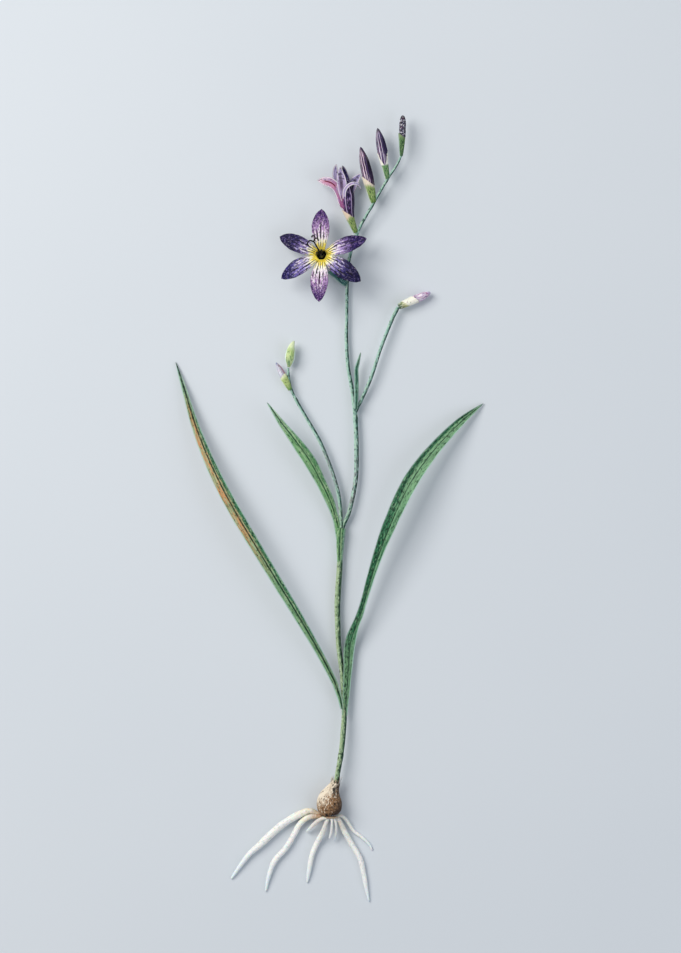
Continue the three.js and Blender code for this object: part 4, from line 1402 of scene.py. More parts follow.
@dataclass(frozen=True)
class Bract:
    """The bracts round a flower's foot, grown together as a cup: solid low down, with one lip or two.

    Attributes:
        foot: Where it sits on the stem.
        tip: The point that its axis runs to.
        radius: Its radius at the rim.
        reach: How high the rim stands.
        lip: How much higher it rises at the lip.
        lip_turn: Which side the lip is on, in degrees round the axis from +Z to the left.
        lips: One, or two that face each other.
        sharp: The power that makes the lips sharper or blunter.
        swell: The power that the radius grows by with the height.
        narrow: Its radius at the foot, as a share of the largest one.
        pinch: How far it draws in again towards the lip, as a share of the radius.
        wall: Thickness of the cup.
        floor: How high the floor of its hollow lies, as a share of the height.
        sides: Columns round it.
        clear: How far a corolla stays off the wall.
        flare: How many mm a corolla may widen for each mm past the rim.
    """

    foot: tuple[float, float, float]
    tip: tuple[float, float, float]
    radius: float
    reach: float
    lip: float
    lip_turn: float
    lips: int = 1
    sharp: float = 2.0
    swell: float = 0.5
    narrow: float = 0.4
    pinch: float = 0.0
    wall: float = 0.26
    floor: float = 0.42
    sides: int = 96
    clear: float = 0.06
    flare: float = 1.2

    def crest(self, turn: Array) -> Array:
        """How much of the lip's rise there is at a turn: |cos((turn - lip turn) lips / 2)| ^ sharp."""
        return np.abs(np.cos((turn - radians(self.lip_turn)) * self.lips / 2)) ** self.sharp

    def girth(self, height: Array) -> Array:
        """The outer radius at a height: radius (narrow + (1 - narrow) s^swell) (1 - pinch s^4).

        Args:
            height: Millimetres from the foot, of which s is the share that is run of the lip's height.

        Returns:
            The radius.
        """
        share = np.clip(height / (self.reach + self.lip), 0, 1)
        drawn_in = 1 - self.pinch * share**4
        return (self.narrow + (1 - self.narrow) * share**self.swell) * drawn_in * self.radius

    def axes(self) -> tuple[Array, Array, Array, Array]:
        """The foot, and the directions along the axis, above it and across it to the left."""
        start = np.array(self.foot)
        along = unit(np.array(self.tip) - start)
        above = unit(UP - (UP @ along) * along)
        return start, along, above, np.cross(above, along)

    def skin(self) -> Skin:
        """The cup: up the outside, over the rim and down inside to the floor.

        At a share t of the height and a turn round the axis the point stands t * reach + lip * crest * t^3
        up the axis, with small teeth at the rim. It stands one girth out, less the wall inside, with fine
        ridges.

        Returns:
            The skin, whose V is t.
        """
        start, along, above, across = self.axes()
        up, down = np.linspace(0, 1, 46) ** 1.15, np.linspace(1, self.floor, 22)
        t = np.concatenate([up, down])[:, None]
        inside = (np.arange(len(t)) >= len(up))[:, None]
        turn = circuit(self.sides)
        ragged = 0.12 * np.abs(np.sin(8.5 * turn)) * step(t, 0.9, 1.0)
        height = t * self.reach + self.lip * self.crest(turn) * t**3 + ragged
        ridges = 0.02 * np.cos(18 * turn) * step(t, 0, 0.2) + 0.05 * np.sin(5 * turn + 1) * t**3
        radius = self.girth(height) + ridges - np.where(inside, self.wall, 0)
        offset = above * np.cos(turn)[:, None] + across * np.sin(turn)[:, None]
        points = start + along * height[..., None] + offset * radius[..., None]
        rise = height / self.reach if self.lips == 2 else t
        marks = {"aside": np.broadcast_to(np.sin(turn), radius.shape), "rise": rise}
        return Skin(points, lap(self.sides), t[:, 0], marks)

    def turn_of(self, route: Route, turn: Array) -> Array:
        """The turns round this axis, from above to the left, of points round a route in the bract."""
        above, across = self.axes()[2:]
        out = np.cos(turn)[:, None] * route.across[0] + np.sin(turn)[:, None] * route.above[0]
        return np.arctan2(out @ across, out @ above)

    def room(self, height: Array, turn: Array) -> Array:
        """How far out a corolla may stand: clear of the wall up to the rim, and past it ever further out.

        Args:
            height: Millimetres from the foot, rows x 1.
            turn: Radians round the axis from above to the left.

        Returns:
            The radius, rows x columns.
        """
        top = self.reach + self.lip * self.crest(turn)
        return self.girth(height) - self.wall - self.clear + np.maximum(height - top, 0) * self.flare


@dataclass(frozen=True)
class Bud:
    """A bud: its furled corolla in its bract.

    Attributes:
        name: What the names of its pieces and solids start with.
        bract: Its bract.
        corolla: Radius of the furled petals.
        bract_finish: The bract's material.
        corolla_finish: The corolla's material.
        slot: The record's slot for the bract.
        blunt: How much fuller its tip is.
        start: How high up the bract the corolla starts, as a share.
        folds: How many petals wind round it.
        depth: How deep the folds between them are, as a share of the radius.
        twist: How far they wind, in radians.
        profile: Share of the corolla's length, and share of its radius there.
        sides: Columns round it.
    """

    name: str
    bract: Bract
    corolla: float
    bract_finish: BractFinish
    corolla_finish: CorollaFinish
    slot: Slot = Slot.BRACT
    blunt: float = 0.0
    start: float = 0.4
    folds: int = 3
    depth: float = 0.09
    twist: float = 0.35
    profile: Stations = (
        (0, 0.55), (0.16, 0.82), (0.36, 1), (0.56, 0.97), (0.76, 0.8), (0.92, 0.4), (1, 0.13),
    )
    sides: int = 72

    def furled(self) -> Skin:
        """The furled corolla.

        Along its axis the radius follows the profile, times 1 + 1.25 blunt share^6. Round it the petals wind
        as ridges, each rising slowly and falling fast, as 1 - depth + depth * (cos p + 0.35 sin 2p) with
        p = folds * (turn + twist * share), and fine pleats run with them. Inside the bract it keeps to the
        room there.

        Returns:
            The skin.
        """
        foot, along = self.bract.axes()[:2]
        low = self.bract.reach * self.start
        span = np.linalg.norm(np.array(self.bract.tip) - foot) - low
        stations = [[*(foot + along * (low + t * span)), radius * self.corolla] for t, radius in self.profile]
        route = Route.through(stations, 0.2, ACROSS)
        share = route.share[:, None]
        turn = circuit(self.sides)
        phase = self.folds * (turn + self.twist * share)
        ridge = 1 - self.depth + self.depth * (np.cos(phase) + 0.35 * np.sin(2 * phase))
        pleats = 1 + 0.012 * np.cos(8 * phase)
        fuller = 1 + 1.25 * self.blunt * share**6
        radius = route.values[:, :1] * fuller * ridge * pleats * tip_round(share, 0.05)
        room = self.bract.room(low + route.run[:, None], self.bract.turn_of(route, turn))
        radius = np.minimum(radius, room)
        points = route.circle(radius, turn)
        marks = {"share": share, "aside": np.broadcast_to(np.cos(turn), radius.shape)}
        return Skin(points, lap(self.sides), route.run, marks)

    def make(self) -> None:
        """Makes the bud's two pieces."""
        corolla = self.corolla_finish.material()
        seat(f"{self.name}_furled_petals", [self.furled()], corolla, Slot.BUD, f"{self.name}_corolla")
        cup = self.bract_finish.material()
        seat(f"{self.name}_bract_cup", [self.bract.skin()], cup, self.slot, f"{self.name}_bract")


@dataclass(frozen=True)
class Tepal:
    """How a tepal is tinted.

    Attributes:
        dark: How far it goes to indigo, 0 to 1.
        rosy: How far it leans to mauve, 0 to 1.
        pale: How much of its veins and tint is held back, 0 to 1.
        midline: How dark its midline is drawn, 0 to 1.
        lens: How dark a patch lies on it, 0 to 1.
        lens_at: Where across it that patch lies, -1 to 1.
    """

    dark: float = 0.3
    rosy: float = 0.3
    pale: float = 0.0
    midline: float = 0.0
    lens: float = 0.0
    lens_at: float = 0.0


def petal(route: Route, tint: Tepal, seed: int, fold: float = 0.12) -> Skin:
    """The surface of a tepal on its route.

    At a share a across and half width w the middle rises by fold * w * |a|, with a bell-shaped groove along
    the midline, low veins and a wave along the margins. The half thickness is that of the blade times
    sqrt(1 - a^8).

    Args:
        route: Its route, whose first value is its half width.
        tint: How it is tinted.
        seed: Picks its small waves.
        fold: Rise of its margins.

    Returns:
        The skin.
    """
    columns = 34
    share, run = route.share[:, None], route.run[:, None]
    half = route.values[:, :1] * tip_round(share, 0.07)
    a = spread(columns)
    mm = a * half
    thick = (0.13 + 0.06 * (1 - np.abs(a))) * np.sqrt(1 - a**8)
    soft = np.sqrt(a * a + 0.02) - 0.14
    wide = step(half, 0.4, 1.4)
    groove = -0.1 * np.exp(-((mm / 0.4) ** 2)) * wide
    veins = 0.025 * np.cos(a * TAU * 3.6) * wide
    wave = 0.16 * ripple(run + 3 * np.sign(a), 7, seed) * a * a * step(share, 0.25, 0.5)
    ragged = 1 + 0.025 * ripple(run + 5 * np.sign(a), 4, seed + 9) * step(share, 0.3, 0.5)
    rise = fold * half * soft + groove + veins + wave + face_signs(columns) * thick
    points = route.carry(mm * ragged, rise)
    marks = {"share": share, "half": half, "seed": seed * 1.7, **asdict(tint)}
    return Skin(points, np.append(a, a[0]), route.run, marks)


def heading(degrees: float) -> Array:
    """The level direction at an angle from +X towards +Y."""
    return np.array([np.cos(radians(degrees)), np.sin(radians(degrees)), 0.0])


@dataclass(frozen=True)
class OpenFlower:
    """The open flower: six spreading tepals on a curved tube, three stamens and a style with three arms.

    It is worked out in its own frame, with its throat at the origin and its face to +Z, and then tilted and
    placed.

    Attributes:
        centre: The throat on the plant.
        tilt: How far the face leans, in radians about X and then Y.
        tepals: Direction in degrees, length, half width, rise, and tint of each tepal.
        profile: Along a tepal of unit length: distance out, height, share of the half width.
        tube: x, y, z and radius of the tube, from the stem to its rim.
        bract: Its bract, on the plant.
        style: x, y, z and radius of the style.
        style_arms: The same for each of its arms.
        stamen: Distance out, height and radius along a stamen.
        stamen_turns: The direction of each stamen, in degrees.
        finish: The material of the tepals and the tube.
        wall: Thickness of the tube.
        floor: Height of the floor of its throat.
    """

    centre: tuple[float, float, float]
    tilt: tuple[float, float, float]
    tepals: Sequence[tuple[float, float, float, float, Tepal]]
    profile: Stations
    tube: Stations
    bract: Bract
    style: Stations
    style_arms: Sequence[Stations]
    stamen: Stations
    stamen_turns: Sequence[float] = (57, 177, 297)
    finish: TepalFinish = TepalFinish()
    wall: float = 0.35
    floor: float = -2.4

    def placed(self, skins: Sequence[Skin]) -> list[Skin]:
        """Skins of the flower's own frame, on the plant."""
        x, y, z = (Matrix.Rotation(angle, 3, axis) for angle, axis in zip(self.tilt, "XYZ"))
        turn = np.array(x @ y @ z)
        return [skin.moved(turn, np.array(self.centre)) for skin in skins]

    def tepal(self, index: int) -> Skin:
        """One tepal: the profile carried out in its direction, scaled to its length and width.

        Args:
            index: Which tepal.

        Returns:
            The skin, in the flower's frame.
        """
        turn, length, half_width, lift, tint = self.tepals[index]
        out = heading(turn)
        stations = [
            [*(out * length * reach + UP * (height + lift)), share * half_width]
            for reach, height, share in self.profile
        ]
        return petal(Route.through(stations, 0.22, np.cross(out, UP)), tint, 20 + index)

    def flower_tube(self) -> Skin:
        """The tube: up the outside along its route, over its rim and down inside to the throat's floor."""
        route = Route.through(self.tube, 0.3, ACROSS)
        sides, rows = 60, len(route.run)
        inner = np.nonzero(route.place[:, 2] > self.floor)[0][::-1]
        order = np.concatenate([np.arange(rows), inner])
        inside = (np.arange(len(order)) >= rows)[:, None]
        place, turn = route.rows(order), circuit(sides)
        radius = place.values[:, :1] * (1 + 0.03 * np.cos(6 * turn)) - np.where(inside, self.wall, 0)
        marks = {"share": np.where(inside, 0.0, 0.6), "half": radius, "dark": 0.5, "rosy": 0.2}
        depth = place.run[rows - 1] - place.run
        along = np.where(inside[:, 0], 2.8 - 1.2 * depth, 1.5 + depth)
        return Skin(place.circle(radius, turn), lap(sides, 2.0), along, marks)

    def anther(self, turn: float) -> Skin:
        """A stamen: a thin filament and an anther of two lobes, its section pinched in by 18% at two grooves.

        Args:
            turn: Its direction round the flower, in degrees.

        Returns:
            The skin, in the flower's frame.
        """
        out = heading(turn)
        stations = [[*(out * distance + UP * height), radius] for distance, height, radius in self.stamen]
        route = Route.through(stations, 0.12, np.cross(out, UP))
        sides = 24
        angle = circuit(sides)
        share = route.share[:, None]
        lobes = 1 - 0.18 * step(share, 0.45, 0.55) * np.abs(np.cos(angle)) ** 5
        radius = route.values[:, :1] * tip_round(share, 0.05) * lobes
        points = route.carry(radius * np.cos(angle) * 1.1, radius * np.sin(angle))
        return Skin(points, lap(sides), route.run)

    def ring(self) -> Skin:
        """The ring that the filaments rise from: an ellipse, 0.3 mm by 0.4 mm, carried round the style."""
        sides = 12
        around, over = np.linspace(0, TAU, 49)[:, None], circuit(sides)
        radius, height = 1.0 + 0.3 * np.cos(over), -1.7 + 0.4 * np.sin(over)
        x, y = radius * np.cos(around), radius * np.sin(around)
        points = np.stack([x, y, np.broadcast_to(height, x.shape)], -1)
        return Skin(points, lap(sides), around[:, 0])

    def make(self) -> None:
        """Makes the flower's pieces."""
        tepals = [self.tepal(index) for index in range(len(self.tepals))]
        skins = self.placed([self.flower_tube(), *tepals])
        seat("open_flower_tepals", skins, self.finish.material(), Slot.TEPAL, "open_flower_perianth")
        stamens = self.placed([self.ring(), *(self.anther(turn) for turn in self.stamen_turns)])
        pollen = DuskFinish("anther", "#1a1d10", "#6d6a33", 0.25).material()
        seat("open_flower_anthers", stamens, pollen, Slot.ANTHER, "open_flower_stamens")
        arms = [tube(stations, 0.12, 16, ACROSS) for stations in (self.style, *self.style_arms)]
        dusk = DuskFinish("style", "#0c0a12", "#2c2140", 0.3).material()
        seat("open_flower_style_arms", self.placed(arms), dusk, Slot.STYLE, "open_flower_style")
        # Darker, bluer greens than the other bracts': painted shade under the open flower's tepals.
        green = BractFinish(
            "open flower bract", foot="#2f5f5a", body="#2c5c60", rim="#4d7d74", light="#8fb7b4", flecks=0.4,
        ).material()
        seat("open_flower_bract_cup", [self.bract.skin()], green, Slot.BRACT, "open_flower_bract")


@dataclass(frozen=True)
class HalfOpenFlower:
    """The half-open flower: a furled core, three tepals still upright and three turned out, in its bract.

    Attributes:
        core: x, y, z and radius of the tube with what is furled in it.
        tepals: For each tepal the direction across it, its stations with half width and bank, and its tint.
        bract: Its bract.
        finish: The tepals' material.
        core_finish: The core's.
    """

    core: Stations
    tepals: Sequence[tuple[tuple[float, float, float], Stations, Tepal]]
    bract: Bract
    finish: TepalFinish = TepalFinish(
        "half-open tepal", yellow=None, cream="#a79cc4", lilac="#9592bf", rose="#e8cfdd", mauve="#5d4a98",
        veins=0.6, flank="#b07aa2", claw="#3c2860",
    )
    core_finish: CorollaFinish = CorollaFinish(
        "half-open core", ground="#3f2c66", pale="#b9a4cc", rose="#7a3f80", foot="#5a3066", tip="#3f2c66",
        left="#a3608f", right="#1d1338", shares=(0.55, 0.3, 0.2), twist=0.03, length=2.4, seams=(-0.2, 0.6),
    )

    def heart(self) -> Skin:
        """The core: a tube along its route, pleated by the claws of six tepals as 0.97 + 0.07 |sin 3t|."""
        route = Route.through(self.core, 0.22, UP)
        sides = 84
        turn = circuit(sides)
        share = route.share[:, None]
        pleats = 0.97 + 0.07 * np.abs(np.sin(3 * (turn + 0.5 * share)))
        radius = route.values[:, :1] * pleats * tip_round(share, 0.1)
        start, along = self.bract.axes()[:2]
        height = ((route.place - start) @ along)[:, None]
        radius = np.minimum(radius, self.bract.room(height, self.bract.turn_of(route, turn)))
        points = route.circle(radius, turn)
        aside = unit(np.array([1.0, 0.25, 0.0]))
        side = ((points - route.place[:, None]) @ aside) / route.values[:, :1]
        return Skin(points, lap(sides, 1.4), route.run, {"share": share, "aside": side})

    def make(self) -> None:
        """Makes the flower's pieces."""
        node = "half_open_flower_perianth"
        seat("half_open_flower_core", [self.heart()], self.core_finish.material(), Slot.TEPAL, node)
        skins = []
        for index, (across, stations, tint) in enumerate(self.tepals):
            route = Route.through(stations, 0.2, unit(np.array(across)))
            skins.append(petal(route, tint, 60 + index))
        seat("half_open_flower_tepals", skins, self.finish.material(), Slot.TEPAL, node)
        cup = BractFinish(
            "half-open flower bract", rim="#e0cab8", light="#b9c088", pale_from=0.8, lean=0.18,
        ).material()
        seat("half_open_flower_bract_cup", [self.bract.skin()], cup, Slot.BRACT, "half_open_flower_bract")


@dataclass(frozen=True)
class ClosedBud:
    """The bud still wholly wrapped in its bracts: a pointed spindle with one bract's edge across it."""

    stations: Stations

    def make(self) -> None:
        """Makes the bud: a tube whose radius steps by 5% where the outer bract ends."""
        route = Route.through(self.stations, 0.15)
        sides = 64
        turn = circuit(sides)
        share = route.share[:, None]
        overlap = 0.05 * step((turn / TAU + 0.25 * share) % 1, 0.0, 0.06)
        radius = route.values[:, :1] * (0.97 + overlap + 0.012 * np.cos(15 * turn)) * tip_round(share, 0.05)
        points = route.circle(radius, turn)
        # The side mark is high on both flanks, so the bract's pale edge, a painted highlight, runs down both
        # sides.
        marks = {"aside": np.broadcast_to(np.abs(np.cos(turn)), radius.shape), "rise": share * 0.8}
        skin = Skin(points, lap(sides), route.share * 0.8, marks)
        finish = BractFinish(
            "closed bud bract", foot="#628c6a", body="#a2be7a", rim="#dcebc2", light="#dceab0",
            deep="#2f5c48", edge="#e6f8f4", flecks=0.16, streaks=0.5, edged=1.0, pale_from=0.48,
        )
        seat("closed_left_bud_bracts", [skin], finish.material(), Slot.BRACT, "closed_left_bud")


# This plant


CORM = (
    (0.5, -4.8, 4.6, 1.4), (0.45, -4.55, 4.6, 3.1), (0.25, -3.4, 4.6, 4.25), (0.05, -1.2, 4.6, 4.85),
    (0, 1.1, 4.6, 4.85), (0.35, 3.2, 4.6, 4.25), (0.95, 5.1, 4.65, 3.2), (1.6, 6.6, 4.75, 2.45),
    (2.15, 7.6, 4.8, 2), (2.45, 8.1, 4.82, 1.8),
)

ROOTS = (
    (
        (-1, -5.5, 3.4, 0.9), (-4.4, -4.4, 2.3, 1), (-8.1, -3, 1.6, 1.2), (-12.8, -4.7, 1.5, 1.45),
        (-18.3, -8, 1.55, 1.5), (-23.2, -12.1, 1.5, 1.45), (-27.6, -16.3, 1.4, 1.3), (-32, -20.2, 1.2, 1.1),
        (-35.6, -24.8, 1, 0.85), (-39.5, -30.3, 0.5, 0.4),
    ),
    (
        (-0.6, -5.6, 4.2, 0.85), (-4.2, -5.1, 3.6, 0.95), (-8.6, -5.6, 2.4, 1.05), (-12, -8.4, 1.6, 1.1),
        (-14.4, -12.8, 1.25, 1.2), (-17.6, -18, 1.2, 1.15), (-21.9, -22.9, 1.15, 1.1),
        (-24.2, -28.6, 0.95, 0.9), (-25.6, -35.4, 0.45, 0.35),
    ),
    ((-0.8, -5.6, 5.6, 0.7), (-3, -5.9, 5.4, 0.75), (-5.6, -7.7, 4, 0.82), (-9.3, -11.5, 1.2, 0.4)),
    (
        (-0.3, -5.5, 5.2, 0.8), (-1.2, -7.2, 4.8, 0.85), (-2.6, -11.2, 3.2, 1), (-5, -15.8, 1.5, 1.05),
        (-7, -20.6, 1.15, 1.05), (-8.1, -26.4, 0.95, 0.9), (-9, -31.9, 0.45, 0.35),
    ),
    ((0.7, -5.5, 6.2, 0.5), (1, -7.4, 6, 0.5), (0.7, -11.2, 4.8, 0.5), (-0.1, -14, 3.6, 0.35)),
    ((1.5, -5.5, 5.6, 0.5), (2.4, -7.4, 5.3, 0.5), (2.7, -10.8, 4.1, 0.5), (1.9, -14.8, 2, 0.35)),
    (
        (1.4, -5.5, 4.4, 0.85), (3.7, -6.6, 4, 0.95), (5.8, -10.8, 2.6, 1.05), (8.6, -15.8, 1.4, 1.1),
        (12.1, -21.8, 1.15, 1.1), (13.6, -27.6, 1.05, 0.95), (14.6, -33.2, 0.85, 0.8),
        (15.8, -39.4, 0.45, 0.35),
    ),
    (
        (1.6, -5.4, 3.4, 0.65), (4.6, -4.9, 3, 0.65), (7, -7, 2, 0.65), (9.6, -10.9, 0.95, 0.65),
        (13.4, -13.9, 0.8, 0.65), (15.9, -16.4, 0.6, 0.5), (17.1, -18.8, 0.4, 0.3),
    ),
)

MAIN_STEM = (
    (2.5, 6.4, 4.8, 0.95), (3.1, 11.2, 4.72, 1), (4.15, 17.2, 4.6, 1.03), (5, 23.2, 4.4, 1.05),
    (5.5, 29.2, 4.1, 1.12), (5.85, 36, 3.75, 1.02), (5.2, 50, 2.95, 1), (4.1, 59.4, 2.65, 1),
    (3.55, 65.2, 2.5, 1.06), (3.15, 77, 2.3, 1.15), (3.3, 83, 2.3, 1.2), (3.95, 93, 2.35, 1.18),
    (4.15, 97.6, 2.4, 1.13), (4.4, 102.2, 2.45, 0.75), (5.3, 110.4, 2.5, 0.8), (8, 117.2, 2.5, 0.82),
    (10.4, 129.2, 2.5, 0.92), (10.8, 141, 2.5, 0.95), (10.3, 155, 2.4, 0.9), (9.1, 165.2, 2.3, 0.8),
    (7.3, 176, 2.1, 0.75), (6.75, 187, 1.9, 0.72), (6.9, 194, 1.95, 0.66), (6.95, 201, 2.1, 0.65),
    (7.1, 208, 2.3, 0.68), (7.95, 218.2, 2.9, 0.65), (11.6, 229.4, 3.8, 0.6), (17.6, 240.2, 4.8, 0.55),
    (23.2, 249.8, 5.4, 0.5), (26.9, 255.4, 5.7, 0.45), (28.7, 259.2, 5.9, 0.42),
)
LEFT_BRANCH = (
    (4.4, 103, 2.45, 0.6), (4.7, 111, 3, 0.72), (4, 121.2, 3.3, 0.76), (2.2, 129.2, 3.4, 0.76),
    (-0.6, 137.2, 3.4, 0.75), (-4, 145.2, 3.2, 0.72), (-8.6, 153.2, 2.9, 0.68), (-13.2, 161.2, 2.6, 0.6),
    (-15.1, 165.2, 2.6, 0.57), (-16.2, 169.4, 2.8, 0.52), (-16.6, 174.3, 3.05, 0.48),
)
RIGHT_BRANCH = (
    (10.3, 156.5, 2.4, 0.55), (12.7, 161.4, 2.7, 0.66), (15.2, 167, 3, 0.72), (17.3, 172.4, 3.2, 0.7),
    (20.4, 182, 3.3, 0.68), (24.7, 193, 3.1, 0.74), (26.6, 197, 3, 0.78), (27.5, 198.7, 3, 0.7),
)

LONG_LEFT_LEAF = (
    (5, 38, 3.85, 0.7, 0, 1.6), (4.2, 41.8, 3.95, 0.95, 0, 1.3), (3.05, 45.5, 4.3, 1.1, 3, 0.5),
    (1.65, 49.2, 4.8, 1.25, 6, 0), (-4.6, 61.2, 6.6, 1.5, 14, 0), (-14, 77.2, 8.8, 2, 20, 0),
    (-26.2, 97.2, 10.2, 2.35, 20, 0), (-38.1, 117.2, 9.6, 2.5, 14, 0), (-46.4, 133.2, 7.6, 2.25, 8, 0),
    (-53, 149.2, 5, 1.75, 2, 0), (-58, 165.2, 2.4, 1.05, 0, 0), (-61.6, 176.8, 0.5, 0.25, 0, 0),
)
BROAD_RIGHT_LEAF = (
    (6.1, 35.4, 3.75, 1.1, 0, -1.9), (6.35, 39.1, 3.5, 1.25, 0, -2.2), (6.8, 44.6, 3.25, 1.45, 0, -2.4),
    (7.1, 50, 3.05, 1.65, 0, -2.4), (7.5, 55.7, 2.85, 1.9, 0, -2.3), (7.8, 61, 2.9, 2.2, 0, -1.6),
    (8.6, 65.6, 3.2, 2.2, -6, -0.6), (10.35, 70.8, 4.1, 1.7, -14, 0), (12.4, 76, 5.1, 1.5, -18, 0),
    (14.1, 81.6, 6, 1.45, -22, 0), (18.8, 97.2, 8.2, 2.05, -22, 0), (24.6, 112.4, 9.4, 2.85, -16, 0),
    (32.4, 128.6, 8.8, 3.2, -10, 0), (41.4, 141.2, 6.6, 2.6, -4, 0), (52, 152.4, 3.4, 1.75, 0, 0),
    (61.6, 160.2, 0.5, 0.3, 0, 0),
)
UPPER_LEFT_LEAF = (
    (4.1, 106, 2.6, 1.5, 0, 0.8), (2.95, 112.2, 3.15, 1.4, 4, 0.2), (1.85, 115.9, 3.7, 1.4, 8, 0),
    (-0.05, 121.2, 4.7, 1.85, 12, 0), (-3.7, 128.8, 6, 2.15, 16, 0), (-8, 136.8, 7.2, 2.6, 16, 0),
    (-13.6, 144.8, 8, 2.1, 10, 0), (-19.2, 152.2, 8.2, 1.3, 4, 0), (-25, 160.5, 7.8, 0.25, 0, 0),
)
UPPER_SHEATH = (
    (4.1, 96.6, 2.4, 1.14), (4.15, 98.8, 2.4, 1.22), (4.2, 101.2, 2.4, 1.42), (4.4, 105.8, 2.5, 1.68),
    (4.6, 108.4, 2.6, 1.78), (4.75, 110.4, 2.7, 1.85),
)
BRACT_LEAF = (
    (10.6, 157.8, 3.9, 0.7, 0, 0.6), (10.75, 163.5, 3.9, 0.85, 0, 0.4), (10.8, 169.4, 3.9, 0.92, -6, 0),
    (10.8, 173.8, 4.1, 0.85, -10, 0), (11.5, 176.6, 4.4, 0.68, -10, 0), (12.5, 180.5, 4.9, 0.2, -10, 0),
)

TEPAL_PROFILE = (
    (0.085, -1.8, 0.42), (0.11, -0.5, 0.42), (0.2, 0.7, 0.55), (0.36, 1.7, 0.86), (0.58, 2.3, 1),
    (0.76, 2.2, 0.84), (0.91, 1.7, 0.48), (1, 1.2, 0.1),
)
OPEN_TEPALS = (
    (89, 18.3, 3.6, 0.25, Tepal(0.15, 0.8)),
    (155, 18.4, 3.4, -0.25, Tepal(0.9, 0.15)),
    (211.2, 18.5, 3.3, 0.25, Tepal(0.45, 0.0)),
    (267.8, 19.4, 3.6, -0.25, Tepal(0.05, 0.8)),
    (324.2, 20, 3.75, 0.25, Tepal(1.0, 0.05)),
    (17.2, 19.4, 3.3, -0.25, Tepal(0.7, 0.4)),
)
FLOWER_TUBE = (
    (6.9, -7.6, -7.9, 0.85), (4.3, -4.9, -7.5, 1), (1.9, -2.2, -6.2, 1.3), (0.5, -0.6, -4.2, 1.75),
    (0.05, -0.05, -2, 2.2), (0, 0, 0.3, 2.5),
)
STAMEN = (
    (1, -1.8, 0.3), (1, -1.3, 0.3), (1.2, 0.6, 0.3), (1.2, 1.2, 0.42), (1.2, 2.5, 0.42), (1.16, 3.9, 0.38),
    (1.12, 4.4, 0.15),
)
STYLE = (
    (0, 0, -2.1, 0.34), (0, 0, -0.6, 0.34), (-0.2, 0.5, 1.4, 0.32), (-1, 2.2, 3.6, 0.3),
    (-2.2, 4.5, 5.4, 0.3),
)
STYLE_ARMS = (
    (
        (-2.1, 4.3, 5.3, 0.3), (-1.6, 5.5, 6.1, 0.3), (-1.9, 6.4, 6.1, 0.3), (-2.7, 6.6, 5.6, 0.3),
        (-3, 6.1, 5.1, 0.3),
    ),
    ((-2.1, 4.3, 5.3, 0.3), (-1.4, 5.4, 6.2, 0.3), (-0.5, 5.3, 6.3, 0.3), (-0.1, 4.4, 5.7, 0.3)),
    ((-2.1, 4.3, 5.3, 0.3), (-3.6, 4.6, 6, 0.3), (-4.6, 3.6, 6, 0.3), (-4.3, 2.6, 5.3, 0.3)),
)

HALF_CORE = (
    (9.6, 231.4, 4.4, 0.9), (8.3, 234.4, 4.6, 1.7), (7.4, 237.3, 4.8, 2.45), (7.05, 240, 4.9, 2.9),
    (6.75, 243.5, 5.05, 3), (6.3, 246.5, 5.2, 2.4), (5.6, 249.8, 5.3, 1.2),
)
HALF_TEPALS = (
    (
        (0.45, 0.85, 0.3),
        (
            (7.2, 237, 4.9, 1.2, 0), (5, 240.6, 5.2, 1.6, 0), (3.6, 244.4, 5.6, 1.5, 0),
            (1.6, 247.7, 6, 1.9, 0), (-1.5, 249, 6, 2, 0), (-4.9, 249.3, 5.3, 0.4, 0),
        ),
        Tepal(0.2, 1.0, 1.4, 1.0),
    ),
    (
        (1, 0.2, 0),
        (
            (6.2, 241, 4.2, 1.2, 0), (3.9, 246.4, 3.9, 1.8, 0), (2.9, 250, 4, 1.6, 0),
            (2.35, 253.2, 4.2, 1.05, 0), (2.7, 255.8, 4.4, 0.3, 0),
        ),
        Tepal(0.3, 0.1, 1.0, lens=0.85, lens_at=0.85),
    ),
    (
        (1, 0.2, 0.1),
        (
            (5.6, 241, 6.9, 0.9, 0), (5.2, 244.5, 7.4, 1.6, 0), (5, 247.4, 7.5, 2, 0),
            (4.65, 250, 7.2, 1.85, 0), (4.4, 252.4, 6.8, 1.2, 0), (4.45, 254.7, 6.4, 0.3, 0),
        ),
        Tepal(0.4, 0.3, 0.9, lens=0.75, lens_at=-0.1),
    ),
    (
        (0.9, 0.2, -0.4),
        (
            (7.6, 241, 5.6, 1.4, 0), (7.3, 246, 5.9, 1.7, 0), (6.6, 250, 5.8, 1.5, 0),
            (5.9, 253, 5.6, 1, 0), (5.2, 255.2, 5.4, 0.3, 0),
        ),
        Tepal(1.0, 0.2, 0.3),
    ),
    (
        (0.85, -0.5, 0.2),
        (
            (8.2, 240, 4.2, 1.2, 0), (8.5, 244.6, 3.6, 1.5, 0), (10, 248.9, 3.5, 1.85, 0),
            (12.5, 252, 3.4, 0.45, 0),
        ),
        Tepal(0.3, 0.0, 1.1, lens=0.9),
    ),
    (
        (0.4, -0.1, 0.9),
        (
            (6.6, 239.2, 6.9, 0.6, 55), (5.9, 242.5, 7.8, 0.7, 55), (6.2, 245.3, 8.4, 0.75, 55),
            (7.7, 247.2, 8.8, 0.75, 55), (9.7, 248, 8.8, 0.75, 55), (11.5, 247.4, 8.3, 0.75, 50),
            (12.6, 245.4, 7.3, 0.3, 40),
        ),
        Tepal(0.1, 0.2, 1.1),
    ),
)

CLOSED_BUD = (
    (-16.4, 174.6, 3.1, 0.5), (-16.1, 176, 3.1, 1.25), (-15.9, 178, 3.2, 1.9), (-15.55, 180.8, 3.4, 1.78),
    (-15.1, 183, 3.6, 1.2), (-14.4, 184.6, 3.7, 0.55), (-14.1, 185.2, 3.7, 0.25),
)


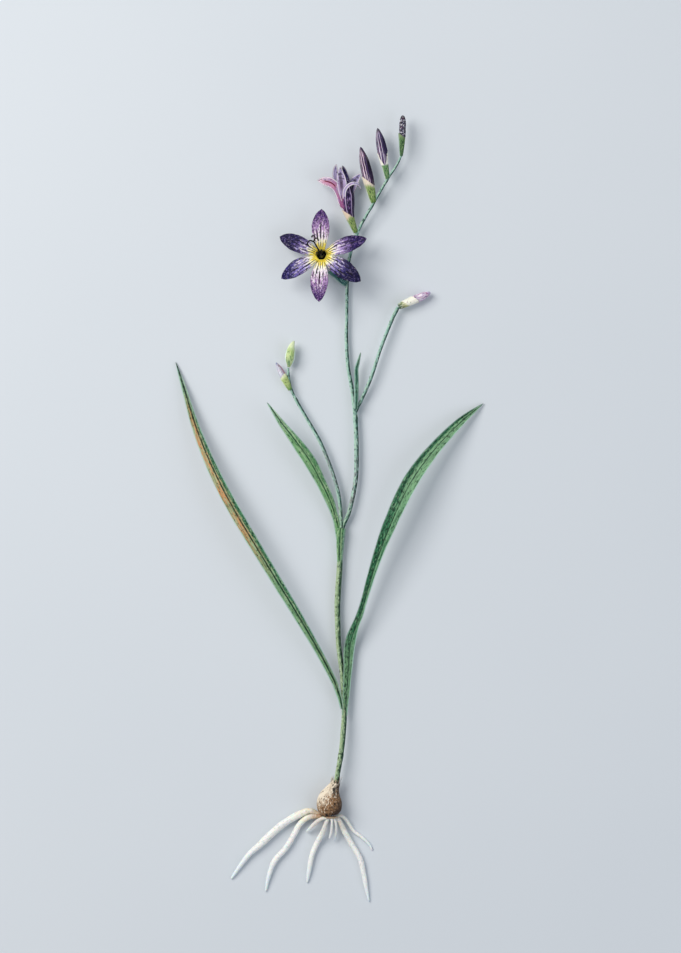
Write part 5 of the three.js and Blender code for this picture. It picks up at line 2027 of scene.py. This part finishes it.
def leaves() -> list[Leaf]:
    """The plant's four leaves."""
    return [
        Leaf(
            "long_left_leaf_blade", "long_left_leaf", LONG_LEFT_LEAF,
            LeafFinish(
                "long left leaf", "#7fae80", "#44805a", deep="#0c2f22", light="#b3cfa6",
                flecks=(0.14, 0.4), streaks=(0.35, 0.22), margins=(0.8, 0.6), midrib=0.95,
                flush="#d49c6c", flushed=(54, 88, 126, 148), flush_side=0.55,
                upper="#8aab96", upper_from=(0.8, 0.95, 0.3), rib_width=0.5,
            ),
            1,
        ),
        Leaf(
            "broad_right_leaf_blade", "broad_right_leaf", BROAD_RIGHT_LEAF,
            LeafFinish(
                "broad right leaf", "#2f6e4c", "#48805c", deep="#07231b", light="#8ab890",
                flecks=(0.42, 0.26), streaks=(0.14, 0.34), margins=(0.35, 0.75), midrib=0.75,
                upper="#7fae84", upper_from=(0.5, 0.72, 0.4), foot="#72a076",
            ),
            2,
        ),
        SheathedLeaf(
            "upper_left_leaf_and_sheath", "upper_left_leaf", UPPER_LEFT_LEAF,
            LeafFinish(
                "upper left leaf", "#7cb07a", "#5a8f60", deep="#12402a", light="#b1d0a4",
                flecks=(0.18, 0.32), streaks=(0.35, 0.32), margins=(0.7, 0.3), midrib=0.95,
                upper="#a6cfae", upper_from=(0.62, 0.95, 0.5),
            ),
            3,
            sheath=UPPER_SHEATH,
        ),
        Leaf(
            "bract_leaf_blade", "bract_leaf", BRACT_LEAF,
            LeafFinish("bract leaf", "#54907a", "#2e6655", light="#8fc4aa", margins=(0.7, 0.3), midrib=0.5),
            4,
        ),
    ]


def buds() -> list[Bud]:
    """The five buds whose petals show."""
    return [
        Bud(
            "spike_bud_1", Bract((17.6, 240.4, 4.9), (12.4, 262.7, 5.6), 2.25, 6.4, 4.6, 90), 2.3,
            BractFinish("spike bud 1 bract", rim="#e6d6c8", edge="#e2ece2", edged=0.9, lean=0.06),
            CorollaFinish(
                "spike bud 1 petals", ground="#4c3a66", pale="#eedaea", rose="#8f4f88", right="#0f0820",
                shares=(0.42, 0.3, 0.3), width=0.6, length=7.0, seams=(-0.84, -0.42, 0.0),
            ),
        ),
        Bud(
            "spike_bud_2",
            Bract(
                (23.2, 250, 5.5), (19.2, 270.2, 6.2), 2.1, 5.4, 5.2, 90,
                lips=2, sharp=2.0, swell=1.2, narrow=0.45, floor=0.55,
            ),
            2.2,
            BractFinish(
                "spike bud 2 bract", foot="#3a6a4a", body="#5a875a", rim="#fbf8f0", edge="#e6f2ec",
                pale_from=0.95,
            ),
            CorollaFinish(
                "spike bud 2 petals", ground="#4e3d6c", pale="#dcd4ea", rose="#8f4a80", right="#221a40",
                tip="#0b0716", shares=(0.4, 0.3, 0.3), width=0.6, length=7.0, seams=(-0.8, -0.4, 0.1),
            ),
        ),
        Bud(
            "spike_bud_3",
            Bract((28.7, 259, 5.9), (29.3, 275.3, 6.4), 1.5, 7.2, 1.8, 90, swell=0.8, floor=0.6),
            1.4,
            BractFinish(
                "spike bud 3 bract", foot="#3a6a48", body="#5a8552", rim="#7d8a6a", flecks=0.55,
                pale_from=0.85,
            ),
            CorollaFinish(
                "spike bud 3 petals", ground="#4c4862", deep="#04060c", pale="#e6e4f0", rose="#6a4258",
                foot="#3f5f58", tip="#08060e", shares=(0.46, 0.4, 0.25), length=0.9, width=1.0,
            ),
            blunt=1.0,
        ),
        Bud(
            "right_bud",
            Bract((27.6, 198.9, 3), (40.4, 204.6, 2.6), 1.75, 6, 2.2, -60, swell=0.3, narrow=0.55), 1.75,
            BractFinish(
                "right bud bract", foot="#2f5a40", body="#bcc08a", rim="#f8f5ea", light="#f4f4e4",
                flecks=0.28, pale_from=0.38, lean=0.14,
            ),
            CorollaFinish(
                "right bud petals", ground="#c9b2d2", deep="#5a3478", pale="#fbf6fa", rose="#a2588f",
                foot="#f6ecf0", tip="#b4aeda", shares=(0.22, 0.42, 0.36), width=0.7, length=3.0,
            ),
            Slot.PALE_BRACT,
            blunt=0.4,
        ),
        Bud(
            "left_bud", Bract((-15.7, 165.5, 3), (-21.4, 176.5, 3.4), 1.7, 5.6, 1.2, -70, pinch=0.14), 1.35,
            BractFinish(
                "left bud bract", foot="#5f9052", body="#aec47e", rim="#dde4c0", edge="#e6f2e4",
                pale_from=0.8, flecks=0.22, edged=1.0,
            ),
            CorollaFinish(
                "left bud petals", ground="#c3c4da", deep="#181018", pale="#f2f2f8", rose="#b09cb8",
                foot="#f0eaea", tip="#6d7aa8", right="#a87888", shares=(0.08, 0.45, 0.25), seams=(0.0,),
            ),
        ),
    ]


def open_flower() -> OpenFlower:
    """The open flower of this plant."""
    return OpenFlower(
        centre=(-3.3, 219.5, 8.2),
        tilt=(-0.18, -0.16, 0),
        tepals=OPEN_TEPALS,
        profile=TEPAL_PROFILE,
        tube=FLOWER_TUBE,
        bract=Bract((6.6, 207.6, 3), (-0.6, 215.2, 3.6), 1.95, 6.2, 2.4, 60),
        style=STYLE,
        style_arms=STYLE_ARMS,
        stamen=STAMEN,
    )


# The studio


@dataclass(frozen=True)
class Studio:
    """A plain pale floor, soft light from the upper left and a camera straight above the plant.

    Attributes:
        aim: The point of the plant under the camera, in metres.
        view_height: How much of the floor's length the picture takes in, in metres.
        lens: The camera's lens, in millimetres.
        floor_size: The length of the floor's side, in metres.
        floor_drop: How far it lies under the plant, in millimetres.
        floor_tints: The two colours that it clouds between.
        sky_tint: The colour of the light from all sides.
        sky_strength: How strong that light is.
    """

    aim: tuple[float, float, float] = (0.0044, 0.1309, 0.004)
    view_height: float = 0.3812
    lens: float = 300.0
    floor_size: float = 3.0
    floor_drop: float = 0.05
    floor_tints: tuple[str, str] = ("#d3dae2", "#cdd5de")
    sky_tint: str = "#f4f7fb"
    sky_strength: float = 0.38

    def lay_floor(self) -> None:
        """Lays the floor: a square, a hair under the plant, with a faint cloudy tone."""
        side, level = self.floor_size / 2, -self.floor_drop * MM
        corners = [(-side, -side, level), (side, -side, level), (side, side, level), (-side, side, level)]
        mesh = bpy.data.meshes.new("floor")
        mesh.from_pydata(corners, [], [(0, 1, 2, 3)])
        g = Graph("floor")
        cloud = g.noise(g.place(), scale=6.0)
        mesh.materials.append(g.dress(g.mix(cloud, *self.floor_tints), g.relief(cloud, 0.01), 0.9))
        floor = bpy.data.objects.new("floor", mesh)
        bpy.context.scene.collection.objects.link(floor)

    def lamp(
        self, name: str, place: tuple[float, float, float], size: float, power: float, tint: str
    ) -> None:
        """Hangs a square soft light that faces the plant.

        Args:
            name: The light's name.
            place: Where it hangs, in metres.
            size: The length of its side, in metres.
            power: Its power in watts.
            tint: Its colour.
        """
        light = bpy.data.lights.new(name, "AREA")
        light.shape, light.size, light.energy = "SQUARE", size, power
        light.color = linear(tint)[:3]
        lamp = bpy.data.objects.new(name, light)
        lamp.location = place
        lamp.rotation_euler = (Vector(self.aim) - Vector(place)).to_track_quat("-Z", "Y").to_euler()
        bpy.context.scene.collection.objects.link(lamp)

    def set_up(self) -> None:
        """Sets up floor, lights, sky and camera."""
        self.lay_floor()
        self.lamp("key_light", (-0.75, 0.65, 0.95), 0.8, 15.5, "#fffaf2")
        self.lamp("fill_light", (0.9, -0.2, 0.8), 0.9, 3.2, "#f2f7ff")
        scene = bpy.context.scene
        scene.world = bpy.data.worlds.new("studio")
        scene.world.use_nodes = True
        sky = scene.world.node_tree.nodes["Background"]
        sky.inputs["Color"].default_value = linear(self.sky_tint)
        sky.inputs["Strength"].default_value = self.sky_strength
        scene.view_settings.view_transform = "Standard"
        camera = bpy.data.cameras.new("camera")
        camera.lens, camera.sensor_width, camera.sensor_fit = self.lens, SENSOR, "AUTO"
        eye = bpy.data.objects.new("camera", camera)
        x, y, z = self.aim
        eye.location = (x, y, z + self.view_height * self.lens / SENSOR)
        scene.collection.objects.link(eye)
        scene.camera = eye


def main() -> None:
    """Builds the studio and the plant."""
    logging.basicConfig(level=logging.INFO, format="%(name)s: %(message)s")
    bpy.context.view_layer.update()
    Studio().set_up()
    Roots(ROOTS, browned=(1, 1, 0.3, 0.2, 0.1, 0.1, 0.3, 0.2)).make()
    Corm(CORM).make()
    Stem(MAIN_STEM, LEFT_BRANCH, RIGHT_BRANCH).make()
    for leaf in leaves():
        leaf.make()
    open_flower().make()
    half_bract = Bract((10.5, 228.4, 4.1), (3.5, 246.8, 5), 2, 5.8, 4.4, 90, swell=0.7)
    HalfOpenFlower(HALF_CORE, HALF_TEPALS, half_bract).make()
    for bud in buds():
        bud.make()
    ClosedBud(CLOSED_BUD).make()
    bpy.context.view_layer.update()


if __name__ == "__main__":
    main()
